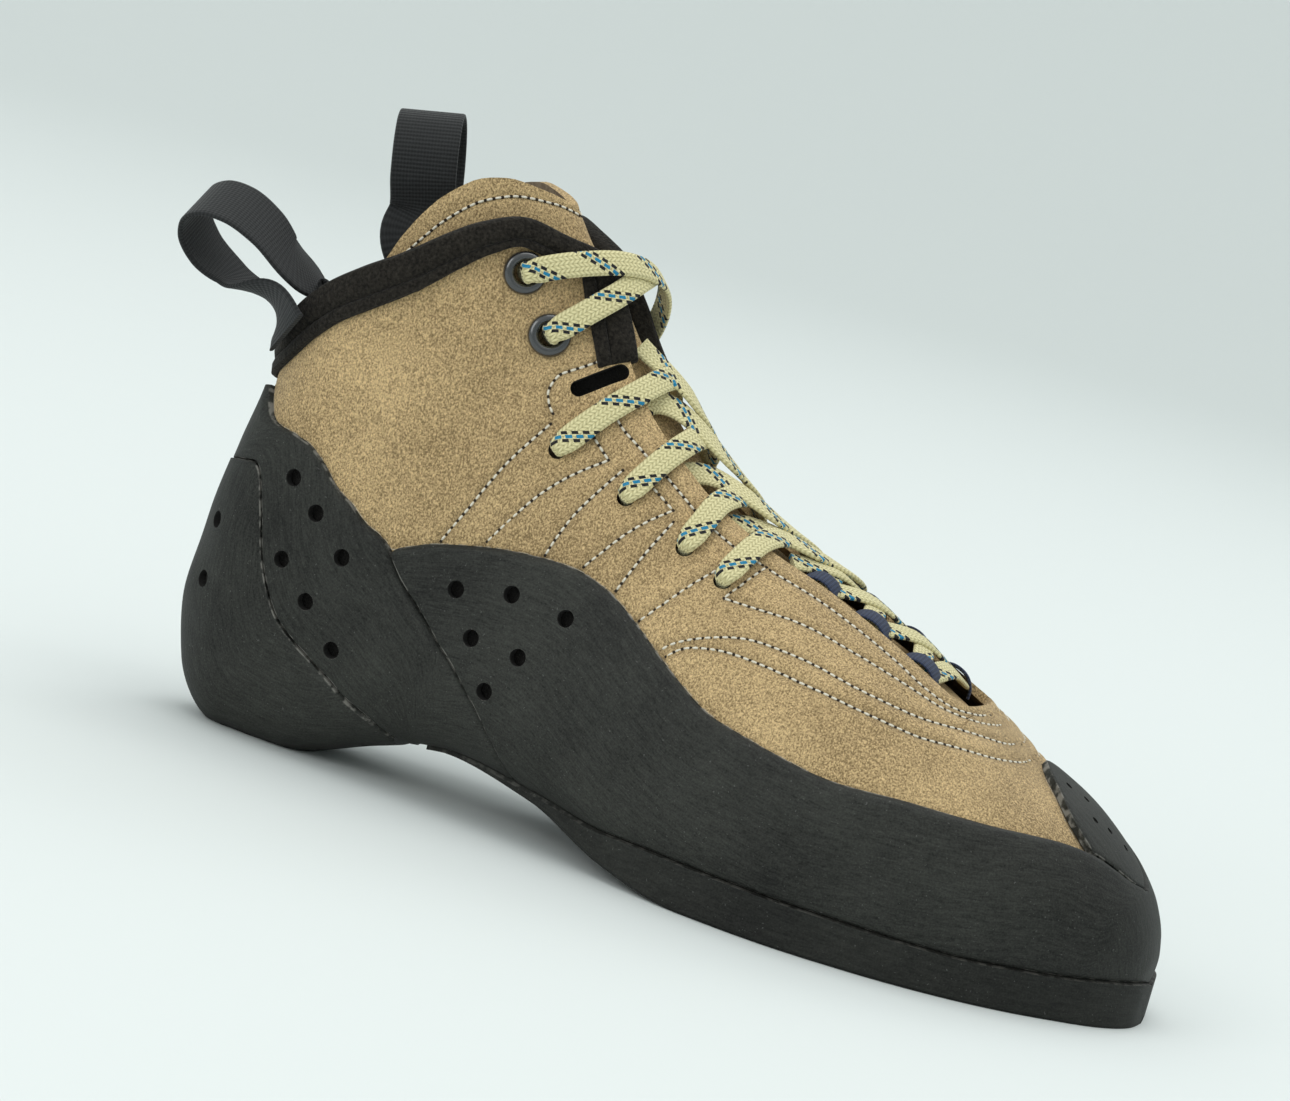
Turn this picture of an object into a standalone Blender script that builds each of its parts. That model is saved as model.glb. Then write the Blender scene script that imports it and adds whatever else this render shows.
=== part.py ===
"""Climbing shoe for the right foot, a laced ankle-high shoe of suede with rubber rands.

+X points to the toe, +Y to the inner side of the foot, +Z up. The origin is on the floor, in
the flat spot under the heel. Every piece follows one surface, last(s, g):
s is the station, from 0 at the tip of the toe to 22 above the ankle, and g is the girth,
from 0 under the foot, up the outer side, 0.5 over the ridge, and down the inner side to 1.
"""
import math

import bmesh
import bpy
import numpy as np

MM = 0.001

# Sizes of the last, in millimetres
LAST_LENGTH = 251.0
HEEL_OVERHANG = 21.2
BALL_WIDTH = 84.0
ANKLE_WIDTH = 53.0
INSTEP_HEIGHT = 78.0
COLLAR_HEIGHT = 103.0
FRONT_HEIGHT = 158.0
ARCH_RISE = 7.5

# Thicknesses, in millimetres
SOLE_HEIGHT = 7.0
SUEDE = 2.0
RUBBER = 2.0
CUP_RUBBER = 2.5
HEEL_PAD = 6.8
PATCH_RUBBER = 1.6
TONGUE_THICKNESS = 2.0
INSOLE_THICKNESS = 2.0
GAP = 0.3
# Room left under the rubber and between the layers of the wall, more than their facets sag
SEAT = 0.6

# Sizes of the trim, in millimetres
SOLE_EDGE = 0.9
SOLE_BEVEL = 0.9
BINDING_ROLL = 1.8
TAPE_WIDTH = 16.5
TAPE_THICKNESS = 1.2
LOOP_LENGTH = 33.0
LOOP_WIDTH = 18.0
EYELET_RADIUS = 5.25
EYELET_BORE = 2.75
EYELET_WALL = 0.7
PUNCH_RADIUS = 1.9
SLOT_LENGTH = 15.0
SLOT_WIDTH = 4.0
VENT_RADIUS = 2.15
LACE_WIDTH = 6.2
LACE_THICKNESS = 1.6
LOW_LACE_WIDTH = 4.0
LOOP_TAPE = 3.6
LACE_BITE = 0.36

# Sections of the last, from toe to heel. x: share of the length. rise: share of the arch's
# rise over the sole. top: share of the height. The rest are shares of the width, apart from
# waist, the height of the widest place, and low and high, how square the two halves are.
COLUMNS = "x rise top_x top outer inner centre waist low high ridge"
FOREFOOT = (
    (1.000, 0.40, 1.000, 0.128, 0.000, 0.000, 0.071, 0.45, 2.4, 2.2, 0.000),
    (0.996, 0.19, 1.000, 0.192, 0.083, 0.083, 0.071, 0.45, 2.6, 2.2, 0.000),
    (0.988, 0.08, 0.996, 0.256, 0.149, 0.143, 0.071, 0.45, 3.0, 2.2, 0.000),
    (0.969, 0.03, 0.983, 0.346, 0.232, 0.220, 0.067, 0.44, 3.6, 2.2, 0.000),
    (0.939, 0.00, 0.957, 0.442, 0.307, 0.298, 0.054, 0.42, 4.4, 2.2, 0.012),
    (0.897, 0.00, 0.915, 0.551, 0.383, 0.381, 0.030, 0.40, 5.2, 2.2, 0.024),
    (0.841, 0.00, 0.861, 0.651, 0.448, 0.440, 0.006, 0.38, 6.0, 2.1, 0.048),
    (0.770, 0.00, 0.792, 0.788, 0.495, 0.482, -0.012, 0.36, 6.0, 2.0, 0.060),
    (0.690, 0.00, 0.722, 0.904, 0.514, 0.482, -0.024, 0.35, 6.0, 1.9, 0.060),
    (0.602, 0.00, 0.650, 1.000, 0.490, 0.434, -0.030, 0.34, 5.4, 1.9, 0.048),
    (0.515, 0.12, 0.582, 1.083, 0.440, 0.375, -0.030, 0.34, 4.8, 1.9, 0.036),
    (0.419, 0.72, 0.517, 1.186, 0.387, 0.333, -0.024, 0.35, 4.0, 1.9, 0.024),
)
HEEL = (
    (0.324, 1.02, 0.459, 0.658, 0.557, 0.500, -0.019, 0.36, 3.2, 1.9, 0.019),
    (0.228, 0.47, 0.417, 0.725, 0.528, 0.500, 0.000, 0.38, 2.8, 1.9, 0.000),
    (0.132, -0.27, 0.387, 0.778, 0.509, 0.500, 0.000, 0.43, 2.5, 1.9, 0.000),
    (0.061, -0.20, 0.365, 0.820, 0.500, 0.500, 0.000, 0.48, 2.4, 1.9, 0.000),
    (0.017, 0.93, 0.347, 0.851, 0.491, 0.491, 0.000, 0.52, 2.3, 1.9, 0.000),
)
# In the shaft the second column is the share of the collar's height at the back.
SHAFT = (
    (0.000, 0.291, 0.331, 0.880, 0.491, 0.491, 0.000, 0.54, 2.2, 1.9, 0.000),
    (0.006, 0.471, 0.318, 0.905, 0.491, 0.491, 0.000, 0.54, 2.2, 1.9, 0.000),
    (0.017, 0.650, 0.306, 0.934, 0.491, 0.491, 0.000, 0.54, 2.2, 1.9, 0.000),
    (0.029, 0.835, 0.294, 0.965, 0.500, 0.500, 0.000, 0.54, 2.2, 1.9, 0.000),
    (0.025, 1.000, 0.280, 1.000, 0.509, 0.509, 0.000, 0.54, 2.2, 1.9, 0.000),
    (0.019, 1.185, 0.265, 1.045, 0.509, 0.509, 0.000, 0.54, 2.2, 1.9, 0.000),
)

# Edges of the pieces, each row a station and a girth on the outer side
THROAT = ((0, .5), (7.0, .5), (7.06, .47), (7.2, .45), (7.6, .447), (8.5, .45), (9.3, .452),
          (10.6, .44), (11.6, .432), (12.6, .428), (13.7, .434), (15, .446), (16, .449), (22, .449))
UNDERSIDE = ((0, 0), (2.9, 0), (3.4, .028), (4.5, .045), (7, .058), (10, .05), (13, .04),
             (14.4, .028), (15.0, 0), (22, 0))
SOLE_LINE = ((0, .25), (1.4, .235), (3, .205), (4.3, .185), (6, .172), (8, .166), (9.3, .155),
             (10.2, .125), (11.2, .085), (12.4, .05))
RAND_TOP = ((0, .5), (3.3, .5), (3.7, .46), (4.6, .414), (5.6, .364), (7, .316), (8.4, .295),
            (9.5, .295), (10.4, .306), (11.4, .316), (12.6, .300), (13.9, .270), (14.4, .247))
SEAM = ((11.2, .085), (11.6, .150), (12.05, .190), (12.7, .224), (13.55, .243), (14.4, .247))
STRAP_TOP = SEAM + ((15.6, .236), (16.5, .220), (17.5, .199), (18.2, .172), (18.9, .130),
                    (19.5, .090), (19.8, .060))
CUP_EDGE = ((12.55, .02), (12.75, .07), (13.0, .105), (13.4, .136), (13.85, .158), (14.4, .165),
            (15.5, .171), (16.8, .165), (17.7, .151), (18.15, .135), (18.5, .1), (18.68, .07),
            (18.77, .04), (18.8, 0))
PATCH_LINE = ((4.6, .414), (5.18, .435), (5.68, .466), (6.0, .488), (6.1, .5))
TONGUE_SIDE = ((6.5, .46), (8, .42), (10, .39), (12, .375), (14, .35), (16, .32), (18, .28),
               (19.5, .235), (20.6, .21), (22, .205))
INSOLE_SIDE = ((1.6, .14), (3, .125), (6, .115), (9, .11), (12, .10), (15.2, .12))
# Height of the free edges, each row a girth and a station
COLLAR = ((0, 20.5), (.10, 20.6), (.14, 20.75), (.19, 20.7), (.23, 20.5), (.29, 20.35),
          (.35, 20.0), (.39, 19.2), (.42, 18.0), (.449, 16.9))
TONGUE_TOP = ((.205, 20.9), (.225, 21.2), (.26, 21.5), (.31, 21.55), (.36, 21.3), (.42, 20.5),
              (.46, 19.9), (.5, 19.5))
# Binding down the throat: station and depth; and round the collar: girth and depth
THROAT_BINDING = ((13.85, 7.4), (14.56, 7.4), (15.05, 7.4), (15.54, 7.2), (15.97, 6.9), (16.41, 6.3),
                  (16.9, 5.6))
RIM_BINDING = ((0, 8.6), (.20, 8.6), (.26, 7.6), (.30, 6.6), (.34, 5.4), (.37, 4.8), (.449, 4.8))
RIM_COLUMNS = 12
# Thickness of the sole under the last, as a share of its height
SOLE_TAPER = ((0, 1), (9.0, 1.0), (9.6, .86), (10, .68), (10.5, .45), (11, .30), (12.4, .24))
INNER_RIM_LIFT = 0.25
INNER_TAB_DROP = 0.8

# Places of holes, each row a station and a girth; the inner side's sit nearer the toe
EYELETS = {"eyelet_outer_1": (18.26, .366), "eyelet_outer_2": (15.86, .379),
           "eyelet_inner_1": (17.5, .634), "eyelet_inner_2": (14.7, .621)}
PUNCHES = ((13.52, .354), (12.12, .369), (11.10, .381), (10.46, .384),
           (12.3, .646), (11.15, .631), (10.1, .619), (9.45, .616))
SLOTS = (((14.2, .381), (13.75, .425)), ((13.0, .619), (12.55, .575)))
# Crossing strands between a row of holes and the next. Columns: name, then for the strand that
# starts on the outer side its hole's station and girth, the stations where it crosses the outer
# and the inner flap's edge, and the same four for the strand that starts on the inner side.
CROSSINGS = (
    ("lace_1", 10.46, .384, 10.40, 9.85, 9.45, .616, 9.30, 10.80),
    ("lace_2", 11.10, .381, 11.15, 10.75, 10.10, .619, 9.95, 11.65),
    ("lace_3", 12.12, .369, 12.05, 11.80, 11.15, .631, 10.95, 12.90),
    ("lace_4", 13.52, .354, 13.20, 12.75, 12.30, .646, 11.95, 14.00))
# Strands into the top eyelets, each row a station, a girth and a height over the last
TOP_UNDER = ((15.86, .379, 3.1), (15.70, .41, 3.5), (15.60, .44, 3.9), (15.65, .47, 4.0), (15.8, .5, 4.0),
             (16.2, .545, 3.9), (16.8, .59, 3.8), (17.5, .634, 3.1))
TOP_OVER = ((18.26, .366, 3.1), (17.9, .39, 3.8), (17.3, .42, 4.5), (16.6, .455, 5.1), (15.9, .49, 5.3),
            (15.3, .52, 5.6), (14.85, .555, 5.0), (14.65, .59, 3.8), (14.7, .621, 3.1))
# Rows of the low loops, outer and inner stations
LOW_ROWS = ((7.85, 7.60), (8.65, 8.28), (9.45, 8.95))
RAND_VENTS = ((13.14, .259), (12.44, .274), (11.68, .283), (12.52, .242), (11.88, .247), (11.98, .210))
STRAP_VENTS = ((17.14, .190), (16.14, .212), (15.0, .225), (15.86, .186), (14.88, .193), (13.98, .181))
CUP_VENTS = ((17.58, .099), (16.72, .098))


def along(rows, at, column=1):
    """Smooth curve through a table, with no overshoot between its rows."""
    table = np.asarray(rows, float)
    k, f = table[:, 0], table[:, column]
    at = np.clip(np.asarray(at, float), k[0], k[-1])
    step = np.diff(k)
    slope = np.diff(f) / step
    bend = np.empty_like(f)
    before, after = 2 * step[1:] + step[:-1], step[1:] + 2 * step[:-1]
    same = slope[:-1] * slope[1:] > 0
    safe = np.where(slope == 0, 1.0, slope)
    mean = (before + after) / (before / safe[:-1] + after / safe[1:])
    bend[1:-1] = np.where(same, mean, 0.0)
    bend[0], bend[-1] = slope[0], slope[-1]
    i = np.clip(np.searchsorted(k, at, side="right") - 1, 0, len(step) - 1)
    t = (at - k[i]) / step[i]
    h = step[i]
    return ((1 + 2 * t) * (1 - t) ** 2 * f[i] + t * (1 - t) ** 2 * h * bend[i]
            + t * t * (3 - 2 * t) * f[i + 1] + t * t * (t - 1) * h * bend[i + 1])


def section_table():
    """The sections in millimetres: one row per station, with the station number first."""
    rows = []
    for share in FOREFOOT:
        low = SOLE_HEIGHT + share[1] * ARCH_RISE
        rows.append((share, low, share[3] * INSTEP_HEIGHT, BALL_WIDTH))
    for share in HEEL:
        low = SOLE_HEIGHT + share[1] * ARCH_RISE
        rows.append((share, low, share[3] * FRONT_HEIGHT, ANKLE_WIDTH))
    for share in SHAFT:
        rows.append((share, share[1] * COLLAR_HEIGHT, share[3] * FRONT_HEIGHT, ANKLE_WIDTH))
    table = []
    for number, (share, low, high, width) in enumerate(rows):
        if number == 0:
            high = low
        x, top_x = (share[i] * LAST_LENGTH - HEEL_OVERHANG for i in (0, 2))
        widths = [share[i] * width for i in (4, 5, 6)]
        table.append([number, x, low, top_x, high, *widths, *share[7:10], share[10] * width])
    return np.array(table)


SECTIONS = section_table()


def last(s, g):
    """Point of the last's surface: two squared half ellipses in a plane across the foot."""
    s, g = np.broadcast_arrays(np.asarray(s, float), np.asarray(g, float))
    x, low, top_x, high, outer, inner, centre, waist, square_low, square_high, ridge = (
        along(SECTIONS, s, column) for column in range(1, 12))
    turn = 2 * np.pi * g
    side, height = np.sin(turn), -np.cos(turn)
    power = 2 / np.where(height < 0, square_low, square_high)
    side = np.sign(side) * np.abs(side) ** power
    height = np.sign(height) * np.abs(height) ** power
    y = centre - np.where(side > 0, outer, inner) * side + ridge * np.clip(height, 0, 1) ** 2
    share = np.where(height < 0, waist * (1 + height), waist + (1 - waist) * height)
    return np.stack([x + (top_x - x) * share, y, low + (high - low) * share], -1)


def outward(s, g):
    """Direction in which a layer's thickness is measured, nearly level along the sole's edge."""
    s, g = np.broadcast_arrays(np.asarray(s, float), np.asarray(g, float))
    e = 1e-4
    inside = np.clip(s, 0.05, 21.9)
    down_foot = last(inside + e, g) - last(inside - e, g)
    round_foot = last(inside, g + e) - last(inside, g - e)
    n = np.cross(round_foot, down_foot)
    n /= np.linalg.norm(n, axis=-1, keepdims=True)
    least = -np.clip(0.25 + 0.75 * (s - 10.0) / 1.2, 0.25, 1.0)
    n[..., 2] = np.maximum(n[..., 2], least)
    n[s < 1e-6] = (1.0, 0.0, 0.0)
    return n / np.linalg.norm(n, axis=-1, keepdims=True)


def layer(s, g, depth):
    """Point at a depth in millimetres outside the last, or inside it where depth is negative."""
    depth = np.asarray(depth, float)
    return last(s, g) + outward(s, g) * (depth[..., None] if depth.ndim else depth)


def girth_step(s, g, distance):
    """Change of girth that moves a point by a distance in millimetres round the section."""
    e = 1e-4
    pace = np.linalg.norm(last(s, g + e) - last(s, g - e), axis=-1) / (2 * e)
    return distance / np.maximum(pace, 40.0)


def material(name, colour, roughness, metallic=0.0):
    made = bpy.data.materials.new(name)
    made.use_nodes = True
    shader = made.node_tree.nodes["Principled BSDF"]
    shader.inputs["Base Color"].default_value = (*colour, 1.0)
    shader.inputs["Roughness"].default_value = roughness
    shader.inputs["Metallic"].default_value = metallic
    made.diffuse_color = (*colour, 1.0)
    return made


def add_object(name, points, faces, finish):
    """Object from points in millimetres, with faces turned outwards and smooth shading."""
    mesh = bpy.data.meshes.new(name)
    mesh.from_pydata((np.asarray(points) * MM).tolist(), [], faces)
    form = bmesh.new()
    form.from_mesh(mesh)
    bmesh.ops.triangulate(form, faces=[f for f in form.faces if len(f.verts) > 3])
    if form.calc_volume(signed=True) < 0:
        bmesh.ops.reverse_faces(form, faces=form.faces)
    form.to_mesh(mesh)
    form.free()
    mesh.shade_smooth()
    mesh.set_sharp_from_angle(angle=math.radians(40))
    mesh.materials.append(finish)
    made = bpy.data.objects.new(name, mesh)
    bpy.context.scene.collection.objects.link(made)
    return made


def weld(points):
    """For each point, the number of the first point that lies in the same place."""
    keys = {}
    return [keys.setdefault(tuple(key), i) for i, key in enumerate(np.round(points, 3).tolist())]


def shell(name, sheets, finish):
    """Closed wall between pairs of sheets: (front, back) grids that share their edges."""
    front = np.concatenate([pair[0].reshape(-1, 3) for pair in sheets])
    back = np.concatenate([pair[1].reshape(-1, 3) for pair in sheets])
    same = weld(front)
    faces, first = [], 0
    for sheet, _ in sheets:
        rows, columns = sheet.shape[:2]
        for i in range(rows - 1):
            for j in range(columns - 1):
                corner = first + i * columns + j
                quad = [same[k] for k in (corner, corner + 1, corner + columns + 1, corner + columns)]
                quad = [k for n, k in enumerate(quad) if k != quad[n - 1]]
                if len(set(quad)) > 2:
                    faces.append(quad)
        first += rows * columns
    edges = {}
    for quad in faces:
        for n, k in enumerate(quad):
            edges[(quad[n - 1], k)] = edges.get((quad[n - 1], k), 0) + 1
    count = len(front)
    closed = list(faces) + [[count + k for k in reversed(quad)] for quad in faces]
    closed += [[b, a, count + a, count + b] for a, b in edges if (b, a) not in edges]
    used = sorted({k for quad in closed for k in quad})
    order = {k: n for n, k in enumerate(used)}
    points = np.concatenate([front, back])[used]
    return add_object(name, points, [[order[k] for k in quad] for quad in closed], finish)


def both_sides(stations, low, high, columns, outer, inner, station_of=None, inner_low=None):
    """Two pairs of sheets, outer side and inner side, between two edges."""
    s = np.asarray(stations, float)[:, None] * np.ones(columns)
    t = np.linspace(0, 1, columns)[None, :] * np.ones_like(s)
    pairs = []
    for mirror in (False, True):
        at = s
        for _ in range(5):
            start = (inner_low or low)(at) if mirror else low(at)
            g = start + (high(at) - start) * t
            if station_of is not None:
                at = station_of(s, g, mirror)
        if mirror:
            at, g = at[:, ::-1], 1 - g[:, ::-1]
        depth = [d(at, g) if callable(d) else np.full_like(g, d) for d in (outer, inner)]
        pairs.append((layer(at, g, depth[0]), layer(at, g, depth[1])))
    return pairs


def rim(g, mirror):
    """Station of the collar's edge at a girth; the inner side is a little higher."""
    return along(COLLAR, np.minimum(g, .449)) + (INNER_RIM_LIFT if mirror else 0.0) * np.minimum(g / .1, 1)


def pull_to_rim(s, g, mirror):
    """Stations past 12 are stretched so that the last one lies on the collar's edge."""
    return np.where(s < 12, s, 12 + (s - 12) / 9.0 * (rim(g, mirror) - 12))


def on_both(places):
    """The same places on the outer and the inner side."""
    return list(places) + [(s, 1 - g) for s, g in places]


def drill(target, name, places, radius, low, high, sides=8, half_length=0.0):
    """Cuts holes square to the surface by one Boolean; a place of two points is a long hole."""
    form = bmesh.new()
    for place in places:
        ends = np.reshape(place, (-1, 2))
        s, g = ends.mean(axis=0)
        centre, axis = last(s, g), outward(s, g)
        first = np.cross(axis, (0.0, 0.0, 1.0))
        if len(ends) > 1:
            first = last(*ends[1]) - last(*ends[0])
            first -= axis * (first @ axis)
        first /= np.linalg.norm(first)
        second = np.cross(axis, first)
        rings = []
        for level in (low, high):
            ring = []
            for k in range(sides):
                turn = 2 * math.pi * (k + .5) / sides
                point = (centre + axis * level + second * radius * math.sin(turn)
                         + first * max(radius, half_length) * math.cos(turn))
                ring.append(form.verts.new((point * MM).tolist()))
            rings.append(ring)
        form.faces.new(rings[0][::-1])
        form.faces.new(rings[1])
        for k in range(sides):
            n = (k + 1) % sides
            form.faces.new((rings[0][k], rings[0][n], rings[1][n], rings[1][k]))
    bmesh.ops.recalc_face_normals(form, faces=form.faces)
    mesh = bpy.data.meshes.new(name)
    form.to_mesh(mesh)
    form.free()
    cutter = bpy.data.objects.new(name, mesh)
    cutter.hide_render = True
    cutter.display_type = "WIRE"
    bpy.context.scene.collection.objects.link(cutter)
    cut = target.modifiers.new(name, "BOOLEAN")
    cut.operation = "DIFFERENCE"
    cut.solver = "EXACT"
    cut.object = cutter


def suede_depth(s, g):
    """Depth of the suede's face: it sits lower under the rubber, which is bonded over it."""
    side = np.minimum(g, 1 - g)
    top = np.where(s < 14.4, along(RAND_TOP, s), along(STRAP_TOP, s))
    covered = np.clip((top - side) / .02 + .2, 0, 1) * (s < STRAP_TOP[-1][0] + .3)
    return -SEAT * np.maximum(covered, (s < 5.5) * 1.0)


def upper(finish):
    """Suede upper: closed over the toe, open at the throat, the collar and underneath."""
    stations = (0, .5, 1, 1.7, 2.6, 3.4, 4.2, 5.1, 6.1, 6.9, 7.0, 7.06, 7.2, 7.6, 8.3, 9.2, 10.1, 11,
                11.8, 12.6, 13.4, 14.2, 15, 15.8, 16.7, 17.6, 18.5, 19.3, 20.1, 21)
    sheets = both_sides(stations, lambda s: along(UNDERSIDE, s), lambda s: along(THROAT, s),
                        RIM_COLUMNS, suede_depth, -SUEDE, pull_to_rim)
    made = shell("upper", sheets, finish)
    barrel = EYELET_BORE + EYELET_WALL + GAP
    drill(made, "eyelet_holes", EYELETS.values(), barrel, -2 * SUEDE, SUEDE, 12)
    drill(made, "lace_holes", PUNCHES, PUNCH_RADIUS, -2 * SUEDE, SUEDE)
    drill(made, "lace_slots", SLOTS, SLOT_WIDTH / 2, -2 * SUEDE, SUEDE, 12, SLOT_LENGTH / 2)
    return made


def rand(finish):
    """Rubber rand round the forefoot, from the heel strap's seam round the toe."""
    stations = (0, .5, 1, 1.7, 2.5, 3.3, 3.7, 4.1, 4.6, 5.2, 5.9, 6.7, 7.5, 8.3, 9.1, 9.8, 10.4,
                11.0, 11.3, 11.6, 12.05, 12.6, 13.2, 13.8, 14.2, 14.36)

    def low(s):
        line = np.where(s < SEAM[0][0], along(SOLE_LINE, s), along(SEAM, s))
        return line + girth_step(s, line, GAP)

    def high(s):
        return np.maximum(along(RAND_TOP, s), low(s) + .002)

    made = shell("rand", both_sides(stations, low, high, 5, GAP + RUBBER, SEAT), finish)
    drill(made, "rand_vents", on_both(RAND_VENTS), VENT_RADIUS, 0.0, 3 * RUBBER)
    return made


def toe_patch(finish):
    """Thin rubber patch over the toe, between the rand and the suede."""
    def low(s):
        edge = np.where(s < PATCH_LINE[0][0], along(RAND_TOP, s), along(PATCH_LINE, s))
        gap = np.where(s < PATCH_LINE[0][0], girth_step(s, edge, 2 * GAP), 0.0)
        return np.minimum(edge + gap, .5)

    stations = (3.42, 3.7, 4.1, 4.6, 5.18, 5.68, 6.0, 6.1)
    return shell("toe_patch", both_sides(stations, low, lambda s: np.full_like(s, .5), 5,
                                         GAP + PATCH_RUBBER, SEAT), finish)


def heel_strap(finish):
    """Rubber strap from the arch round the back of the heel, open where the cup sits."""
    stations = (11.26, 11.6, 12.05, 12.5, 12.75, 13.0, 13.4, 13.85, 14.4, 15, 15.6, 16.2, 16.8, 17.3, 17.7,
                18.15, 18.5, 18.68, 18.77, 18.8, 19.15, 19.5, 19.8)

    def low(s):
        line = np.where(s < CUP_EDGE[0][0], along(SOLE_LINE, s), along(CUP_EDGE, s))
        line = np.where(s < CUP_EDGE[-1][0], line, 0.0)
        return line + np.where(line > 0, girth_step(s, line, GAP), 0.0)

    def high(s):
        edge = along(STRAP_TOP, s)
        return np.maximum(edge - np.where(s < 14.4, girth_step(s, edge, 2 * GAP), 0.0), low(s) + .002)

    made = shell("heel_strap", both_sides(stations, low, high, 5, GAP + RUBBER, SEAT), finish)
    drill(made, "strap_vents", on_both(STRAP_VENTS), VENT_RADIUS, 0.0, 3 * RUBBER)
    return made


def heel_cup(finish):
    """Rubber cup round the back and underside of the heel, with the flat that it rests on."""
    stations = (12.75, 12.85, 13.05, 13.4, 13.85, 14.2, 14.6, 15.0, 15.4, 15.8, 16.3, 16.8, 17.3,
                17.8, 18.15, 18.5, 18.68, 18.77)

    def high(s):
        edge = along(CUP_EDGE, s)
        return np.maximum(edge - girth_step(s, edge, GAP), 0.0)

    pairs = both_sides(stations, lambda s: np.zeros_like(s), high, 7, 0.0, SEAT)
    cup = []
    for (_, back), mirror in zip(pairs, (False, True)):
        s = np.asarray(stations, float)[:, None] * np.ones(7)
        g = high(s) * np.linspace(0, 1, 7)
        if mirror:
            g = 1 - g[:, ::-1]
        under = np.clip(-outward(s, g)[..., 2], 0, 1) ** 2 * np.clip((s - 12.75) / 1.2, 0, 1)
        front = layer(s, g, GAP + CUP_RUBBER + (HEEL_PAD - CUP_RUBBER) * under)
        front[..., 2] = np.maximum(front[..., 2], 0.0)
        cup.append((front, back))
    made = shell("heel_cup", cup, finish)
    drill(made, "cup_vents", on_both(CUP_VENTS), VENT_RADIUS, 0.0, 3 * CUP_RUBBER)
    return made


def outsole(finish):
    """Sole from the tip of the toe to the arch: flat below, shaped to the last above."""
    stations = np.array((0, .4, .8, 1.3, 1.9, 2.6, 3.4, 4.3, 5.2, 6.1, 7, 7.9, 8.8, 9.4, 9.8, 10.2, 10.6, 11,
                         11.5, 12.0, 12.4))
    edge = along(SOLE_LINE, stations)
    bottom_of_last = along(SECTIONS, stations, 2)
    floor = np.where(stations <= 9.0, 0.0, bottom_of_last - SOLE_HEIGHT * along(SOLE_TAPER, stations))
    proud = GAP + RUBBER + SOLE_EDGE
    rims = []
    for girth in (edge, 1 - edge):
        top = layer(stations, girth, proud)
        side = top.copy()
        bevel = np.minimum(SOLE_BEVEL, 0.3 * (top[:, 2] - floor))
        side[:, 2] = floor + bevel
        rims.append((top, side, bevel))
    (top_out, side_out, bevel), (top_in, side_in, _) = rims
    across = top_in - top_out
    width = np.maximum(np.linalg.norm(across, axis=1, keepdims=True), 1e-6)
    step = across / width * np.minimum(bevel[:, None], 0.3 * width)
    foot_out, foot_in = side_out + step, side_in - step
    foot_out[:, 2] = foot_in[:, 2] = floor
    foot_out[0, 0] -= SOLE_BEVEL
    foot_in[0] = foot_out[0]
    loop = [top_out, side_out, foot_out]
    loop += [foot_out + (foot_in - foot_out) * t for t in (.25, .5, .75)]
    loop += [foot_in, side_in, top_in]
    turns = np.linspace(1, -1, 13)
    for t in turns:
        girth = -np.sign(t) * edge * abs(t) ** 2.2
        loop.append(layer(stations, girth % 1.0, SEAT))
    grid = np.stack(loop, 1)
    rows, columns = grid.shape[:2]
    points = grid.reshape(-1, 3)
    same = weld(points)
    faces = []
    for i in range(rows - 1):
        for j in range(columns):
            n = (j + 1) % columns
            here, there = i * columns, (i + 1) * columns
            quad = [same[k] for k in (here + j, here + n, there + n, there + j)]
            quad = [k for m, k in enumerate(quad) if k != quad[m - 1]]
            if len(set(quad)) > 2:
                faces.append(quad)
    faces.append([(rows - 1) * columns + j for j in range(columns)])
    used = sorted({k for quad in faces for k in quad})
    order = {k: n for n, k in enumerate(used)}
    return add_object("outsole", points[used], [[order[k] for k in quad] for quad in faces], finish)


def tongue_depth(s):
    """Depth of the tongue's outer face: room for the lace, and a lean towards the ankle above."""
    lean = np.clip((s - 15.0) / 6.0, 0, 1)
    under_lace = np.clip((s - 6.5) / 0.5, 0, 1)
    return -SUEDE - SEAT - (LACE_THICKNESS + 2 * GAP) * under_lace - 2.5 * lean * lean * (3 - 2 * lean)


def tongue(finish):
    """Tongue: one wide sheet under the throat, wrapped round the front of the ankle."""
    stations = (6.5, 7.0, 7.6, 8.5, 9.6, 10.8, 12, 13.2, 14.3, 15.3, 16.4, 17.5, 18.6, 19.7, 20.8, 22.0)

    def top(s, g, mirror):
        return np.where(s < 15, s, 15 + (s - 15) / 7.0 * (along(TONGUE_TOP, g) - 15))

    sheets = both_sides(stations, lambda s: along(TONGUE_SIDE, s), lambda s: np.full_like(s, .5), 7,
                        lambda s, g: tongue_depth(s), lambda s, g: tongue_depth(s) - TONGUE_THICKNESS, top,
                        lambda s: along(TONGUE_SIDE, s) + .03 * np.clip((s - 17) / 2, 0, 1))
    return shell("tongue", sheets, finish)


def insole(finish):
    """Footbed inside the upper, from the toes to the seat of the heel."""
    stations = (1.8, 2.5, 3.4, 4.5, 5.8, 7.2, 8.6, 9.8, 10.8, 11.8, 12.8, 13.7, 14.4, 15.0)
    s = np.asarray(stations, float)[:, None] * np.ones(9)
    t = np.linspace(-1, 1, 9)[None, :]
    g = np.sign(t) * along(INSOLE_SIDE, s) * np.abs(t) ** 2.2
    depth = -SUEDE - 2 * SEAT
    pair = (layer(s, g, depth), layer(s, g, depth - INSOLE_THICKNESS))
    return shell("insole", [pair], finish)


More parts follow.
